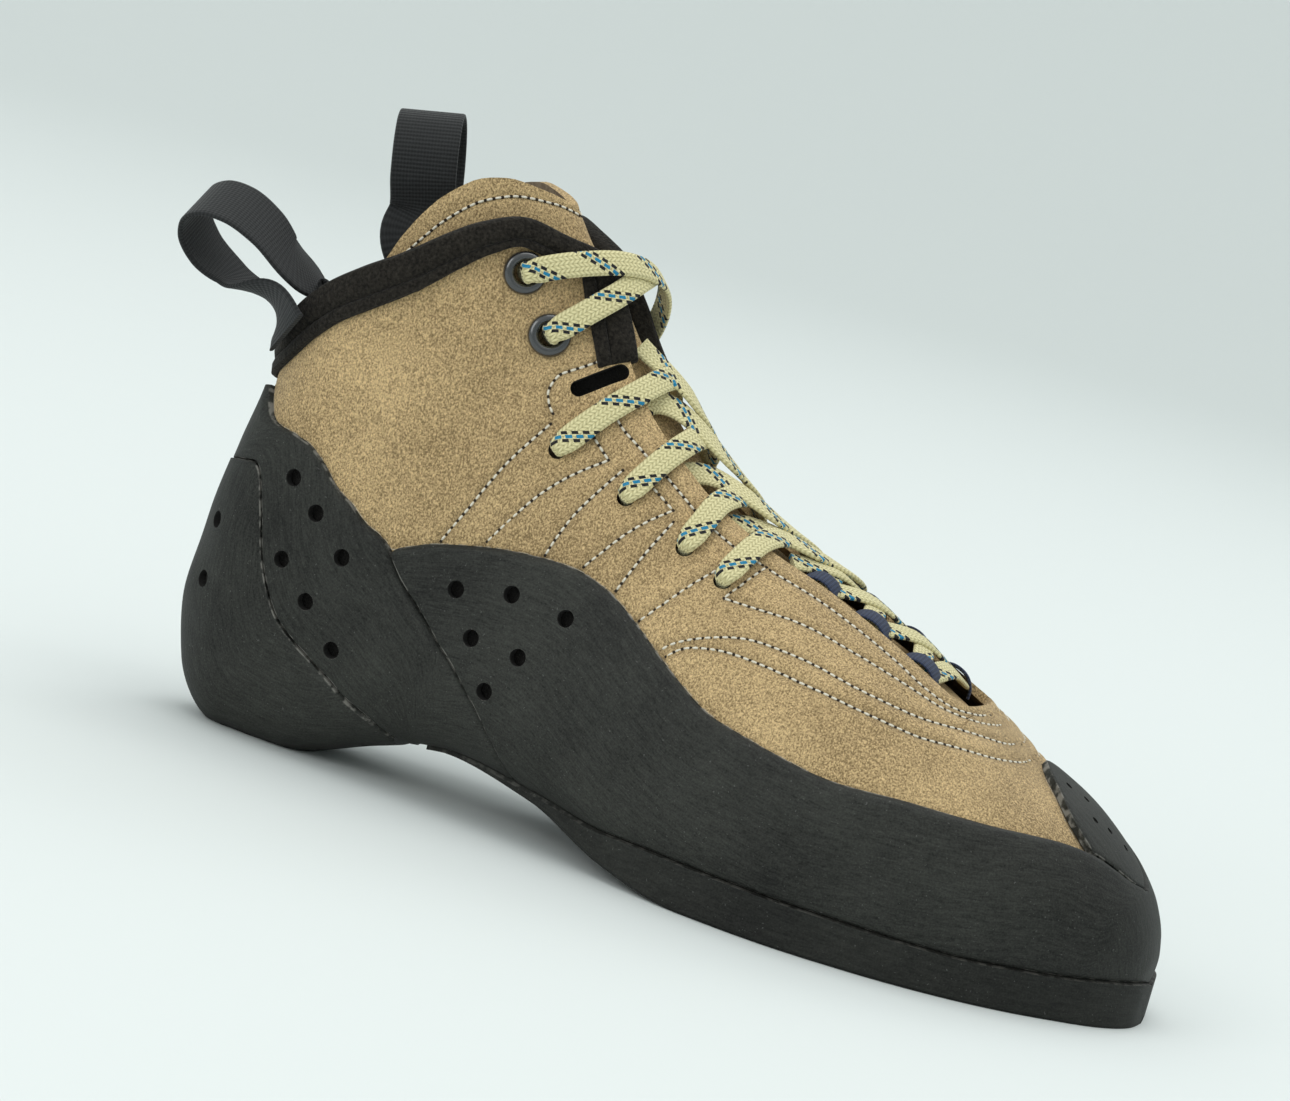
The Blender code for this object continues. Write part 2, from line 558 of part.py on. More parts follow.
def rim_path():
    """Station, girth and depth of the binding along the free edge, round the back."""
    girths = np.linspace(THROAT[-1][1], 0, RIM_COLUMNS)[1:]
    depths = along(RIM_BINDING, girths)
    throat = [(s, float(along(THROAT, s)), d) for s, d in THROAT_BINDING]
    path = list(throat)
    path += [(float(rim(g, False)), g, d) for g, d in zip(girths, depths)]
    path += [(float(rim(g, True)), 1 - g, d) for g, d in zip(girths[-2::-1], depths[-2::-1])]
    path += [(s - INNER_TAB_DROP * (s < 14), 1 - g, d) for s, g, d in throat[::-1]]
    return np.array(path)


def rim_frame(path):
    """Points of the edge, with the direction into the material and the outward direction.

    The last result is the change of station and girth for a millimetre into the material.
    """
    s, g = path[:, 0], path[:, 1]
    on_edge = last(s, g)
    out = outward(s, g)
    wrapped = np.concatenate([on_edge[:1] * 2 - on_edge[1:2], on_edge, on_edge[-1:] * 2 - on_edge[-2:-1]])
    ahead = wrapped[2:] - wrapped[:-2]
    into = np.cross(out, ahead)
    into /= np.linalg.norm(into, axis=1, keepdims=True)
    e = 1e-3
    by_station = (last(s + e, g) - last(s - e, g)) / (2 * e)
    by_girth = (last(s, g + e) - last(s, g - e)) / (2 * e)
    grid = np.stack([by_station, by_girth], -1)
    pace = np.einsum("nij,nj->ni", np.linalg.pinv(grid), into)
    return on_edge, into, out, pace


def tube_faces(rows, columns):
    """Quads of a closed tube of rings, with a flat end at each end."""
    faces = []
    for i in range(rows - 1):
        for j in range(columns):
            n = (j + 1) % columns
            faces.append([i * columns + j, (i + 1) * columns + j, (i + 1) * columns + n, i * columns + n])
    faces.append(list(range(columns)))
    faces.append([(rows - 1) * columns + j for j in reversed(range(columns))])
    return faces


def binding(finish):
    """Padded binding folded over the collar's edge and down the top of the throat."""
    path = rim_path()
    s, g, deep = path.T
    pace = rim_frame(path)[3]
    roll, face, inside = BINDING_ROLL, SEAT + 2 * GAP, -SUEDE - SEAT - 2 * GAP
    rows = ((1.0, 0, face), (1.0, 0, GAP + .85 * roll), (.74, 0, GAP + roll), (.62, 0, GAP + .75 * roll),
            (.50, 0, GAP + roll), (.1, 0, GAP + 1.1 * roll), (0, -1.2 - .6 * roll, GAP),
            (0, -1.2 - .6 * roll, inside), (.1, 0, inside - .7 * roll), (.9, 0, inside - .6 * roll),
            (.9, 0, inside), (0, -1.2, inside), (0, -1.2, face))
    rings = []
    for share, more, height in rows:
        reach = share * deep + more
        rings.append(layer(s + pace[:, 0] * reach, g + pace[:, 1] * reach, height))
    grid = np.stack(rings, 1)
    return add_object("collar_binding", grid.reshape(-1, 3), tube_faces(*grid.shape[:2]), finish)


def spline(points, count):
    """Points spread evenly along a smooth curve through a few points."""
    points = np.asarray(points, float)
    reach = np.concatenate([[0], np.cumsum(np.linalg.norm(np.diff(points, axis=0), axis=1))])
    slope = np.gradient(points, reach, axis=0)
    at = np.linspace(0, reach[-1], count)
    i = np.clip(np.searchsorted(reach, at, side="right") - 1, 0, len(reach) - 2)
    h = (reach[i + 1] - reach[i])[:, None]
    t = (at - reach[i])[:, None] / h
    return ((1 + 2 * t) * (1 - t) ** 2 * points[i] + t * (1 - t) ** 2 * h * slope[i]
            + t * t * (3 - 2 * t) * points[i + 1] + t * t * (t - 1) * h * slope[i + 1])


# Way of each pull loop: along its axis and across it, as shares of its length and width
LOOP_WAY = ((.22, -.38), (.5, -.54), (.78, -.46), (.96, -.2), (1.0, .06), (.94, .3), (.76, .5), (.5, .52),
            (.22, .36))


def pull_loop(name, girth, mirror, axis, across, clearance, rise, finish):
    """Loop of flat tape: one end outside the collar, the other inside, bowed between them.

    The clearance is the room between the binding's face and the middle of the tape, and the rise
    is how far the outer leg goes up past the collar's edge before it bows out. With no rise it leans
    outward at once.
    """
    middle = 1 - girth if mirror else girth
    place = [(float(rim(min(g, 1 - g), mirror)), g) for g in (middle + .02, middle, middle - .02)]
    on_edge, into, out, _ = (part[1] for part in rim_frame(np.array(place)))
    outer_face = GAP + 1.1 * BINDING_ROLL + clearance
    inner_face = -SUEDE - SEAT - .7 * BINDING_ROLL - 4.6
    axis, across = (np.array(v, float) / np.linalg.norm(v) for v in (axis, across))
    base = on_edge - into * (GAP + 3.2 * BINDING_ROLL) - out * SUEDE / 2
    way = [on_edge + into * 6.0 + out * outer_face, on_edge + into * 1.0 + out * outer_face]
    if rise:
        way.append(on_edge - into * rise + out * (outer_face + 0.8))
    bow = [base + axis * a * LOOP_LENGTH + across * b * LOOP_WIDTH for a, b in LOOP_WAY]
    bow = bow if (across @ out) < 0 else bow[::-1]
    way += bow if rise else bow[1:]
    way += [on_edge - into * 10.0 + out * (inner_face + .8), on_edge + into * 1.0 + out * inner_face,
            on_edge + into * 6.0 + out * inner_face]
    centre = spline(way, 34)
    ahead = np.gradient(centre, axis=0)
    ahead /= np.linalg.norm(ahead, axis=1, keepdims=True)
    collar_side = np.cross(into, out)
    loop_side = np.cross(axis, across)
    if collar_side @ loop_side < 0:
        loop_side = -loop_side
    share = np.sin(np.linspace(0, np.pi, len(centre)))[:, None] ** .7
    side = collar_side * (1 - share) + loop_side * share
    side -= ahead * np.sum(side * ahead, axis=1, keepdims=True)
    side /= np.linalg.norm(side, axis=1, keepdims=True)
    flat = np.cross(ahead, side)
    rings = [centre + side * a * TAPE_WIDTH / 2 + flat * b * TAPE_THICKNESS / 2
             for a, b in ((-1, -1), (1, -1), (1, 1), (-1, 1))]
    grid = np.stack(rings, 1)
    return add_object(name, grid.reshape(-1, 3), tube_faces(*grid.shape[:2]), finish)


def tape_rings(centre, out, width, thickness):
    """Rings of a flat tape with thinner edges, its face turned towards the given direction."""
    ahead = np.gradient(centre, axis=0)
    ahead /= np.linalg.norm(ahead, axis=1, keepdims=True)
    side = np.cross(ahead, out)
    side /= np.linalg.norm(side, axis=1, keepdims=True)
    flat = np.cross(side, ahead)
    shape = ((-.5, 0), (-.36, -.5), (.36, -.5), (.5, 0), (.36, .5), (-.36, .5))
    return np.stack([centre + side * a * width + flat * b * thickness for a, b in shape], 1)


def strand(name, way, count, finish, width=LACE_WIDTH):
    """Tape along a way of rows: station, girth and height of its middle over the last."""
    s, g, height = np.array(way, float).T
    centre, out = spline(layer(s, g, height), count), spline(outward(s, g), count)
    rings = tape_rings(centre, out, width, LACE_THICKNESS)
    return add_object(name, rings.reshape(-1, 3), tube_faces(*rings.shape[:2]), finish)


def join(main, others):
    """Makes one body of overlapping solids by Boolean unions."""
    for other in others:
        other.hide_render = True
        other.display_type = "WIRE"
        union = main.modifiers.new(other.name, "BOOLEAN")
        union.operation = "UNION"
        union.solver = "EXACT"
        union.object = other
    return main


def flap_strand(name, outer, hole_s, hole_g, over_s, under_s, finish):
    """Strand from a hole over its own flap's edge and the ridge, and under the other flap.

    It stops at the other flap's edge where that has the binding on it.
    """
    tucked = under_s < THROAT_BINDING[0][0] - (INNER_TAB_DROP if outer else 0) - .45
    over = GAP + LACE_THICKNESS / 2
    under = -SUEDE - over
    near, far = float(along(THROAT, over_s)), float(along(THROAT, under_s))
    if not outer:
        hole_g = 1 - hole_g
    share, ridge = (.5, -.8) if outer else (.3, -.8 + LACE_THICKNESS - LACE_BITE)
    way = [(hole_s, hole_g, over), ((hole_s + over_s) / 2, (hole_g + near) / 2, over + .3),
           (over_s, near - .006, over + .3), (over_s + share * (under_s - over_s), .5, ridge),
           (under_s, 1 - far - (.014 if tucked else .028), under + .3)]
    if tucked:
        way.append((under_s + .2, 1 - far + .02, under))
    if not outer:
        way = [(s, 1 - g, h) for s, g, h in way]
    return strand(name, way, 13, finish)


def crossing(row, finish):
    """Two crossed strands between two rows of holes."""
    name, outer, inner = row[0], row[1:5], row[5:]
    first = flap_strand(name, True, *outer, finish)
    return join(first, [flap_strand(name + "_over", False, *inner, finish)])


def top_crossing(finish):
    """The last two strands, over the binding and into the top eyelets."""
    first = strand("lace_5", TOP_UNDER, 15, finish)
    return join(first, [strand("lace_5_over", TOP_OVER, 17, finish)])


def low_lace(finish):
    """Zigzag of the lace through the low loops, from the bottom bar up to the first holes."""
    deep = -SUEDE - LACE_THICKNESS / 2
    crown = deep + .9
    (outer, inner), *_ = LOW_ROWS
    ways = [((outer - .03, .474, deep), ((outer + inner) / 2, .5, crown), (inner - .03, .526, deep))]
    rows = LOW_ROWS + ((10.0, 9.5),)
    for (outer, inner), (next_outer, next_inner) in zip(rows[:-1], rows[1:]):
        ways.append(((outer + .03, .476, deep + .4), ((outer + next_inner) / 2, .5, crown - .1),
                     (next_inner - .03, .525, deep - .1)))
        ways.append(((next_outer - .03, .475, deep + .1), ((inner + next_outer) / 2, .5, crown + .9),
                     (inner + .03, .524, deep + .4)))
    strands = []
    for number, way in enumerate(ways):
        name = f"lace_low_{number}" if number else "lace_low"
        strands.append(strand(name, way, 7, finish, LOW_LACE_WIDTH))
    return join(strands[0], strands[1:])


def lace_loop(name, row, girth, finish):
    """Small arch of webbing beside the flap's edge, which the lace passes through."""
    half = .29
    deep = -SUEDE - LACE_THICKNESS - GAP
    crown = -SUEDE + LACE_THICKNESS + 2 * GAP
    shoulder = .4 * deep + .6 * crown
    way = [(row + share * half, girth, height) for share, height in (
        (-1, deep), (-.8, shoulder), (-.5, crown), (.5, crown), (.8, shoulder), (1, deep))]
    return strand(name, way, 11, finish, LOOP_TAPE)


def eyelet(name, s, g, finish):
    """Metal eyelet: a rolled flange on the suede and a barrel through its hole."""
    barrel = EYELET_BORE + EYELET_WALL
    profile = ((EYELET_BORE, 1.2), (barrel, 1.9), (.84 * EYELET_RADIUS, 1.9), (EYELET_RADIUS, 1.2),
               (EYELET_RADIUS, GAP), (barrel, GAP), (barrel, -SUEDE), (EYELET_BORE, -SUEDE))
    sides = 12
    centre, axis = last(s, g), outward(s, g)
    first = np.cross(axis, (0.0, 0.0, 1.0))
    first /= np.linalg.norm(first)
    second = np.cross(axis, first)
    points, faces = [], []
    for k in range(sides):
        turn = 2 * math.pi * k / sides
        spoke = first * math.cos(turn) + second * math.sin(turn)
        points += [centre + axis * h + spoke * r for r, h in profile]
    count = len(profile)
    for k in range(sides):
        n = (k + 1) % sides
        for j in range(count):
            m = (j + 1) % count
            faces.append([k * count + j, n * count + j, n * count + m, k * count + m])
    return add_object(name, points, faces, finish)


def build():
    for thing in list(bpy.data.objects):
        bpy.data.objects.remove(thing, do_unlink=True)
    suede = material("suede", (0.35, 0.23, 0.12), 0.95)
    rubber = material("rand_rubber", (0.022, 0.022, 0.023), 0.55)
    sole = material("sole_rubber", (0.018, 0.018, 0.018), 0.6)
    cloth = material("binding_cloth", (0.022, 0.018, 0.016), 0.95)
    tape = material("loop_tape", (0.014, 0.015, 0.017), 0.8)
    metal = material("eyelet_metal", (0.012, 0.012, 0.014), 0.25, 0.9)
    braid = material("lace_braid", (0.74, 0.67, 0.36), 0.85)
    webbing = material("loop_webbing", (0.03, 0.04, 0.09), 0.9)
    footbed = material("footbed", (0.30, 0.26, 0.20), 0.9)
    upper(suede)
    outsole(sole)
    tongue(suede)
    insole(footbed)
    rand(rubber)
    toe_patch(rubber)
    heel_strap(rubber)
    heel_cup(rubber)
    binding(cloth)
    pull_loop("pull_loop_outer", .115, False, (-.87, -.27, .42), (.48, -.45, .75), 3.9, 0, tape)
    pull_loop("pull_loop_inner", .19, True, (-.20, .08, .97), (.22, -.96, .12), 1.3, 5.6, tape)
    for row in CROSSINGS:
        crossing(row, braid)
    top_crossing(braid)
    low_lace(braid)
    for number, (outer, inner) in enumerate(LOW_ROWS, 1):
        lace_loop(f"lace_loop_outer_{number}", outer, float(along(THROAT, outer)) + .012, webbing)
        lace_loop(f"lace_loop_inner_{number}", inner, .988 - float(along(THROAT, inner)), webbing)
    for name, (s, g) in EYELETS.items():
        eyelet(name, s, g, metal)


build()
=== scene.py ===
# %% [markdown]
# A climbing shoe is a last-shaped suede sock in a tight rubber jacket. The packed solids already
# have its forms, so this lesson builds the fine skins over them: suede with its stitch rows,
# rubber with its grinding marks, a woven lace. We load the frame first, because nothing made
# later may change the size of the shoe.

import math

import bpy
import numpy as np
from mathutils import Matrix, Vector


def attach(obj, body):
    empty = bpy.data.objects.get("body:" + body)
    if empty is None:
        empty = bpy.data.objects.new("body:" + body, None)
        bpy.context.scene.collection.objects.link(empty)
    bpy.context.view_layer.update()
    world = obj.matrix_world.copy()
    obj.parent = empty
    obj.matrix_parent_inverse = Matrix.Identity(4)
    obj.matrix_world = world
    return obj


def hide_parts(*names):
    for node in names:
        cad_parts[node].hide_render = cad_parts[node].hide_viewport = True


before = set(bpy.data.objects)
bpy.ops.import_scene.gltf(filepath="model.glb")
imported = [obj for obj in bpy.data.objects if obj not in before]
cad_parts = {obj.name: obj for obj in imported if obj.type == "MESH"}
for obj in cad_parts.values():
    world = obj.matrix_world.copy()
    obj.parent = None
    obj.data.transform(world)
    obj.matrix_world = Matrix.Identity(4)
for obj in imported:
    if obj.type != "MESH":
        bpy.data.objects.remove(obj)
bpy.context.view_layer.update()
MM = 0.001

# %% [markdown]
# A shoemaker works from a last, and so do the packed solids: every piece follows one surface,
# last(s, g). The station s runs from 0 at the toe to 22 above the ankle, the girth g from 0 under
# the foot, up the outer side, .5 over the ridge, and down the inner side to 1. Repeating the last's few
# tables here lets the skins meet the solids exactly, which copying the coarse mesh could not.

# %% Sections and edges of the last, in millimetres
SECTIONS = np.array((
    (0, 229.8, 10, 229.8, 10, 0, 0, 5.96, .45, 2.4, 2.2, 0),
    (1, 228.8, 8.43, 229.8, 14.98, 6.97, 6.97, 5.96, .45, 2.6, 2.2, 0),
    (2, 226.79, 7.6, 228.8, 19.97, 12.52, 12.01, 5.96, .45, 3, 2.2, 0),
    (3, 222.02, 7.22, 225.53, 26.99, 19.49, 18.48, 5.63, .44, 3.6, 2.2, 0),
    (4, 214.49, 7, 219.01, 34.48, 25.79, 25.03, 4.54, .42, 4.4, 2.2, 1.01),
    (5, 203.95, 7, 208.47, 42.98, 32.17, 32, 2.52, .4, 5.2, 2.2, 2.02),
    (6, 189.89, 7, 194.91, 50.78, 37.63, 36.96, .5, .38, 6, 2.1, 4.03),
    (7, 172.07, 7, 177.59, 61.46, 41.58, 40.49, -1.01, .36, 6, 2, 5.04),
    (8, 151.99, 7, 160.02, 70.51, 43.18, 40.49, -2.02, .35, 6, 1.9, 5.04),
    (9, 129.9, 7, 141.95, 78, 41.16, 36.46, -2.52, .34, 5.4, 1.9, 4.03),
    (10, 108.07, 7.9, 124.88, 84.47, 36.96, 31.5, -2.52, .34, 4.8, 1.9, 3.02),
    (11, 83.97, 12.4, 108.57, 92.51, 32.51, 27.97, -2.02, .35, 4, 1.9, 2.02),
    (12, 60.12, 14.65, 94.01, 103.96, 29.52, 26.5, -1.01, .36, 3.2, 1.9, 1.01),
    (13, 36.03, 10.52, 83.47, 114.55, 27.98, 26.5, 0, .38, 2.8, 1.9, 0),
    (14, 11.93, 4.97, 75.94, 122.92, 26.98, 26.5, 0, .43, 2.5, 1.9, 0),
    (15, -5.89, 5.5, 70.41, 129.56, 26.5, 26.5, 0, .48, 2.4, 1.9, 0),
    (16, -16.93, 13.98, 65.9, 134.46, 26.02, 26.02, 0, .52, 2.3, 1.9, 0),
    (17, -21.2, 29.97, 61.88, 139.04, 26.02, 26.02, 0, .54, 2.2, 1.9, 0),
    (18, -19.69, 48.51, 58.62, 142.99, 26.02, 26.02, 0, .54, 2.2, 1.9, 0),
    (19, -16.93, 66.95, 55.61, 147.57, 26.02, 26.02, 0, .54, 2.2, 1.9, 0),
    (20, -13.92, 86, 52.59, 152.47, 26.5, 26.5, 0, .54, 2.2, 1.9, 0),
    (21, -14.92, 103, 49.08, 158, 26.98, 26.98, 0, .54, 2.2, 1.9, 0),
    (22, -16.43, 122.06, 45.32, 165.11, 26.98, 26.98, 0, .54, 2.2, 1.9, 0)))
THROAT = ((0, .5), (7.0, .5), (7.06, .47), (7.2, .45), (7.6, .447), (8.5, .45), (9.3, .452),
          (10.6, .44), (11.6, .432), (12.6, .428), (13.7, .434), (15, .446), (16, .449), (22, .449))
UNDERSIDE = ((0, 0), (2.9, 0), (3.4, .028), (4.5, .045), (7, .058), (10, .05), (13, .04),
             (14.4, .028), (15.0, 0), (22, 0))
SOLE_LINE = ((0, .25), (1.4, .235), (3, .205), (4.3, .185), (6, .172), (8, .166), (9.3, .155),
             (10.2, .125), (11.2, .085), (12.4, .05))
RAND_TOP = ((0, .5), (3.3, .5), (3.7, .46), (4.6, .414), (5.6, .364), (7, .316), (8.4, .295),
            (9.5, .295), (10.4, .306), (11.4, .316), (12.6, .300), (13.9, .270), (14.4, .247))
SEAM = ((11.2, .085), (11.6, .150), (12.05, .190), (12.7, .224), (13.55, .243), (14.4, .247))
STRAP_TOP = SEAM + ((15.6, .236), (16.5, .220), (17.5, .199), (18.2, .172), (18.9, .130),
                    (19.5, .090), (19.8, .060))
CUP_EDGE = ((12.55, .02), (12.75, .07), (13.0, .105), (13.4, .136), (13.85, .158), (14.4, .165),
            (15.5, .171), (16.8, .165), (17.7, .151), (18.15, .135), (18.5, .1), (18.68, .07),
            (18.77, .04), (18.8, 0))
PATCH_LINE = ((4.6, .414), (5.18, .435), (5.68, .466), (6.0, .488), (6.1, .5))
TONGUE_SIDE = ((6.5, .46), (8, .42), (10, .39), (12, .375), (14, .35), (16, .32), (18, .28),
               (19.5, .235), (20.6, .21), (22, .205))
INSOLE_SIDE = ((1.6, .14), (3, .125), (6, .115), (9, .11), (12, .10), (15.2, .12))
COLLAR = ((0, 20.5), (.10, 20.6), (.14, 20.75), (.19, 20.7), (.23, 20.5), (.29, 20.35),
          (.35, 20.0), (.39, 19.2), (.42, 18.0), (.449, 16.9))
TONGUE_TOP = ((.205, 20.9), (.225, 21.2), (.26, 21.5), (.31, 21.55), (.36, 21.3), (.42, 20.5),
              (.46, 19.9), (.5, 19.5))
SOLE_TAPER = ((0, 1), (9.0, 1.0), (9.6, .86), (10, .68), (10.5, .45), (11, .30), (12.4, .24))
SOLE_HEIGHT, SUEDE, RUBBER, CUP_RUBBER, HEEL_PAD, PATCH_RUBBER = 7.0, 2.0, 2.0, 2.5, 6.8, 1.6
GAP, SEAT, SOLE_EDGE, SOLE_BEVEL, ROLL = .3, .6, .9, .9, 1.8
LACE_WIDTH, LACE_THICKNESS = 6.2, 1.6
print(len(SECTIONS), "sections,", SECTIONS[0, 1] - SECTIONS[17, 1], "mm from toe to heel")

# %% [markdown]
# A smooth line through a few rows is the basic tool. A plain spline swings past its points, which
# would put a bump beside every edge, so the slopes are harmonic means of their neighbours, which
# never overshoot. The section itself is two squared half ellipses, like the slices that a last
# turner checks with card templates.

# %% The last as a surface
def along(rows, at, column=1):
    """Cubic through a table: end points and slopes blended, slopes the weighted harmonic means."""
    table = np.asarray(rows, float)
    k, f = table[:, 0], table[:, column]
    at = np.clip(np.asarray(at, float), k[0], k[-1])
    step = np.diff(k)
    slope = np.diff(f) / step
    before, after = 2 * step[1:] + step[:-1], step[1:] + 2 * step[:-1]
    safe = np.where(slope == 0, 1.0, slope)
    bend = np.empty_like(f)
    mean = (before + after) / (before / safe[:-1] + after / safe[1:])
    bend[1:-1] = np.where(slope[:-1] * slope[1:] > 0, mean, 0.0)
    bend[0], bend[-1] = slope[0], slope[-1]
    i = np.clip(np.searchsorted(k, at, side="right") - 1, 0, len(step) - 1)
    t, h = (at - k[i]) / step[i], step[i]
    return ((1 + 2 * t) * (1 - t) ** 2 * f[i] + t * (1 - t) ** 2 * h * bend[i]
            + t * t * (3 - 2 * t) * f[i + 1] + t * t * (t - 1) * h * bend[i + 1])


def last(s, g):
    """Sine and cosine of the girth, each raised to a power that squares the half, times its size."""
    s, g = np.broadcast_arrays(np.asarray(s, float), np.asarray(g, float))
    x, low, top_x, high, outer, inner, centre, waist, square_low, square_high, ridge = (
        along(SECTIONS, s, column) for column in range(1, 12))
    side, height = np.sin(2 * np.pi * g), -np.cos(2 * np.pi * g)
    power = 2 / np.where(height < 0, square_low, square_high)
    side = np.sign(side) * np.abs(side) ** power
    height = np.sign(height) * np.abs(height) ** power
    y = centre - np.where(side > 0, outer, inner) * side + ridge * np.clip(height, 0, 1) ** 2
    share = np.where(height < 0, waist * (1 + height), waist + (1 - waist) * height)
    return np.stack([x + (top_x - x) * share, y, low + (high - low) * share], -1)


def outward(s, g):
    """Cross product of the slopes round and along the foot, kept from tipping under the sole."""
    s, g = np.broadcast_arrays(np.asarray(s, float), np.asarray(g, float))
    e, inside = 1e-4, np.clip(s, 0.05, 21.9)
    n = np.cross(last(inside, g + e) - last(inside, g - e), last(inside + e, g) - last(inside - e, g))
    n /= np.linalg.norm(n, axis=-1, keepdims=True)
    n[..., 2] = np.maximum(n[..., 2], -np.clip(0.25 + 0.75 * (s - 10.0) / 1.2, 0.25, 1.0))
    n[s < 1e-6] = (1.0, 0.0, 0.0)
    return n / np.linalg.norm(n, axis=-1, keepdims=True)


def layer(s, g, depth):
    """Point of the last moved by the depth along the outward direction."""
    depth = np.asarray(depth, float)
    return last(s, g) + outward(s, g) * (depth[..., None] if depth.ndim else depth)


def girth_step(s, g, distance):
    """Distance divided by how many millimetres one unit of girth spans at that place."""
    e = 1e-4
    pace = np.linalg.norm(last(s, g + e) - last(s, g - e), axis=-1) / (2 * e)
    return distance / np.maximum(pace, 40.0)


print("ankle ridge at", last(18.0, .5).round(1))

# %% [markdown]
# Every skin ends up as one mesh. Grids are the natural form of a sheet of material, and a sheet
# has a face, a back and a cut edge, so one helper closes two grids into a wall. Points that fall
# together are welded, which closes the seam over the ridge and the point at the toe. A Solidify
# modifier would be shorter, but it can't thin the rubber towards an edge.

# %% Meshes from grids
def piece(name, points, triangles, finishes, uv=None, fields=None, index=None, sharp=40):
    """Mesh whose signed volume, the sum of corner triple products, decides which way it faces."""
    a, b, c = (points[triangles[:, k]] for k in range(3))
    if np.einsum("ij,ij->", a, np.cross(b, c)) < 0:
        triangles = triangles[:, ::-1]
        uv = uv[:, ::-1] if uv is not None else None
    mesh = bpy.data.meshes.new(name)
    mesh.from_pydata((points * MM).tolist(), [], triangles.tolist())
    if uv is not None:
        layer_uv = mesh.uv_layers.new(name="surface").uv
        layer_uv.foreach_set("vector", np.ascontiguousarray(uv, np.float32).ravel())
    for label, values in (fields or {}).items():
        values = np.ascontiguousarray(values, np.float32).ravel()
        mesh.attributes.new(label, "FLOAT", "POINT").data.foreach_set("value", values)
    mesh.shade_smooth()
    mesh.set_sharp_from_angle(angle=math.radians(sharp))
    for finish in finishes:
        mesh.materials.append(finish)
    if index is not None:
        mesh.polygons.foreach_set("material_index", np.ascontiguousarray(index, np.int32))
    made = bpy.data.objects.new(name, mesh)
    bpy.context.scene.collection.objects.link(made)
    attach(made, "root")
    print(name, len(triangles), "triangles")
    return made


def shell(name, sheets, finishes, sharp=40):
    """Closed wall: front triangles, the same reversed on the back, and a strip on loose edges."""
    front, back, uv = (np.concatenate([sheet[k].reshape(-1, n) for sheet in sheets])
                       for k, n in ((0, 3), (1, 3), (2, 2)))
    fields = {label: np.concatenate([sheet[3][label].ravel() for sheet in sheets])
              for label in sheets[0][3]}
    _, first, same = np.unique(np.round(front, 3), axis=0, return_index=True, return_inverse=True)
    same = same.ravel()
    corners, base = [], 0
    for sheet in sheets:
        rows, columns = sheet[0].shape[:2]
        at = base + (np.arange(rows - 1)[:, None] * columns + np.arange(columns - 1)).ravel()
        corners.append(np.stack([at, at + 1, at + columns + 1, at + columns], 1))
        base += rows * columns
    quads = np.concatenate(corners)
    loose = np.concatenate([quads[:, [0, 1, 2]], quads[:, [0, 2, 3]]])
    welded = same[loose]
    whole = ((welded[:, 0] != welded[:, 1]) & (welded[:, 1] != welded[:, 2])
             & (welded[:, 2] != welded[:, 0]))
    loose, welded = loose[whole], welded[whole]
    count = len(first)
    edges = np.concatenate([welded[:, [0, 1]], welded[:, [1, 2]], welded[:, [2, 0]]])
    rim = edges[~np.isin(edges[:, 0] * count + edges[:, 1], edges[:, 1] * count + edges[:, 0])]
    a, b = rim.T
    wall = np.concatenate([np.stack([b, a, count + a], 1), np.stack([b, count + a, count + b], 1)])
    triangles = np.concatenate([welded, count + welded[:, ::-1], wall])
    flat = np.concatenate([uv[first], uv[first]])
    loops = np.concatenate([uv[loose], uv[loose[:, ::-1]], flat[wall]])
    index = np.repeat((0, len(finishes) - 1, 0), (len(welded), len(welded), len(wall)))
    fields = {label: np.concatenate([values[first]] * 2) for label, values in fields.items()}
    return piece(name, np.concatenate([front[first], back[first]]), triangles, finishes, loops,
                 fields, index, sharp)

# %% [markdown]
# Where the shape turns fast, a grid needs more lines than along a flank, so stations come in
# stretches of their own pitch. Each side of the foot gets its own sheet, because a foot isn't
# symmetric, and the two share one function that is simply asked for the mirrored girth.

# %% Sheets for the two sides
def spans(*parts):
    """Evenly spaced numbers over several stretches, each a start, an end and a count."""
    return np.unique(np.concatenate([np.linspace(*part) for part in parts]).round(5))


def grid_uv(front, from_end=False):
    """Distances along and across a grid in metres, summed from step to step."""
    down = np.linalg.norm(np.diff(front, axis=0), axis=2).mean(1)
    u = np.concatenate([[0], np.cumsum(down)])[:, None] * np.ones(front.shape[1])
    across = np.linalg.norm(np.diff(front, axis=1), axis=2)
    v = np.concatenate([np.zeros((len(front), 1)), np.cumsum(across, axis=1)], 1)
    return np.stack([u, v - v[:, -1:] if from_end else v], -1) * MM


def two_sides(stations, girths, face, back, fields=None, station_of=None, joined="top"):
    """The sheets of the outer and the inner side, the second one the first turned over."""
    sheets = []
    for mirror in (False, True):
        start = np.asarray(stations, float)[:, None] * np.ones(girths(np.array([[1.0]]), mirror).shape[1])
        at = start
        for _ in range(5):
            g = girths(at, mirror)
            at = station_of(start, g, mirror) if station_of else start
        extra = fields(at, g, mirror) if fields else {}
        if mirror:
            at, g = at[:, ::-1], 1 - g[:, ::-1]
            extra = {label: values[:, ::-1] for label, values in extra.items()}
        front = layer(at, g, face(at, g) if callable(face) else np.full_like(g, face))
        behind = layer(at, g, back(at, g) if callable(back) else np.full_like(g, back))
        sheets.append((front, behind, grid_uv(front, (joined == "top") != mirror), extra))
    return sheets


print("stations in two stretches:", spans((0, 1, 5), (1, 3, 3)))

# %% [markdown]
# The photographer stood close to the shoe's outer side, a little in front of it and low, and
# turned the picture so that the toe points down. A long lens from one metre gives the same flat
# perspective. We build the camera's axes by hand, from the way it looks and its roll, because
# a tracking constraint can't roll.

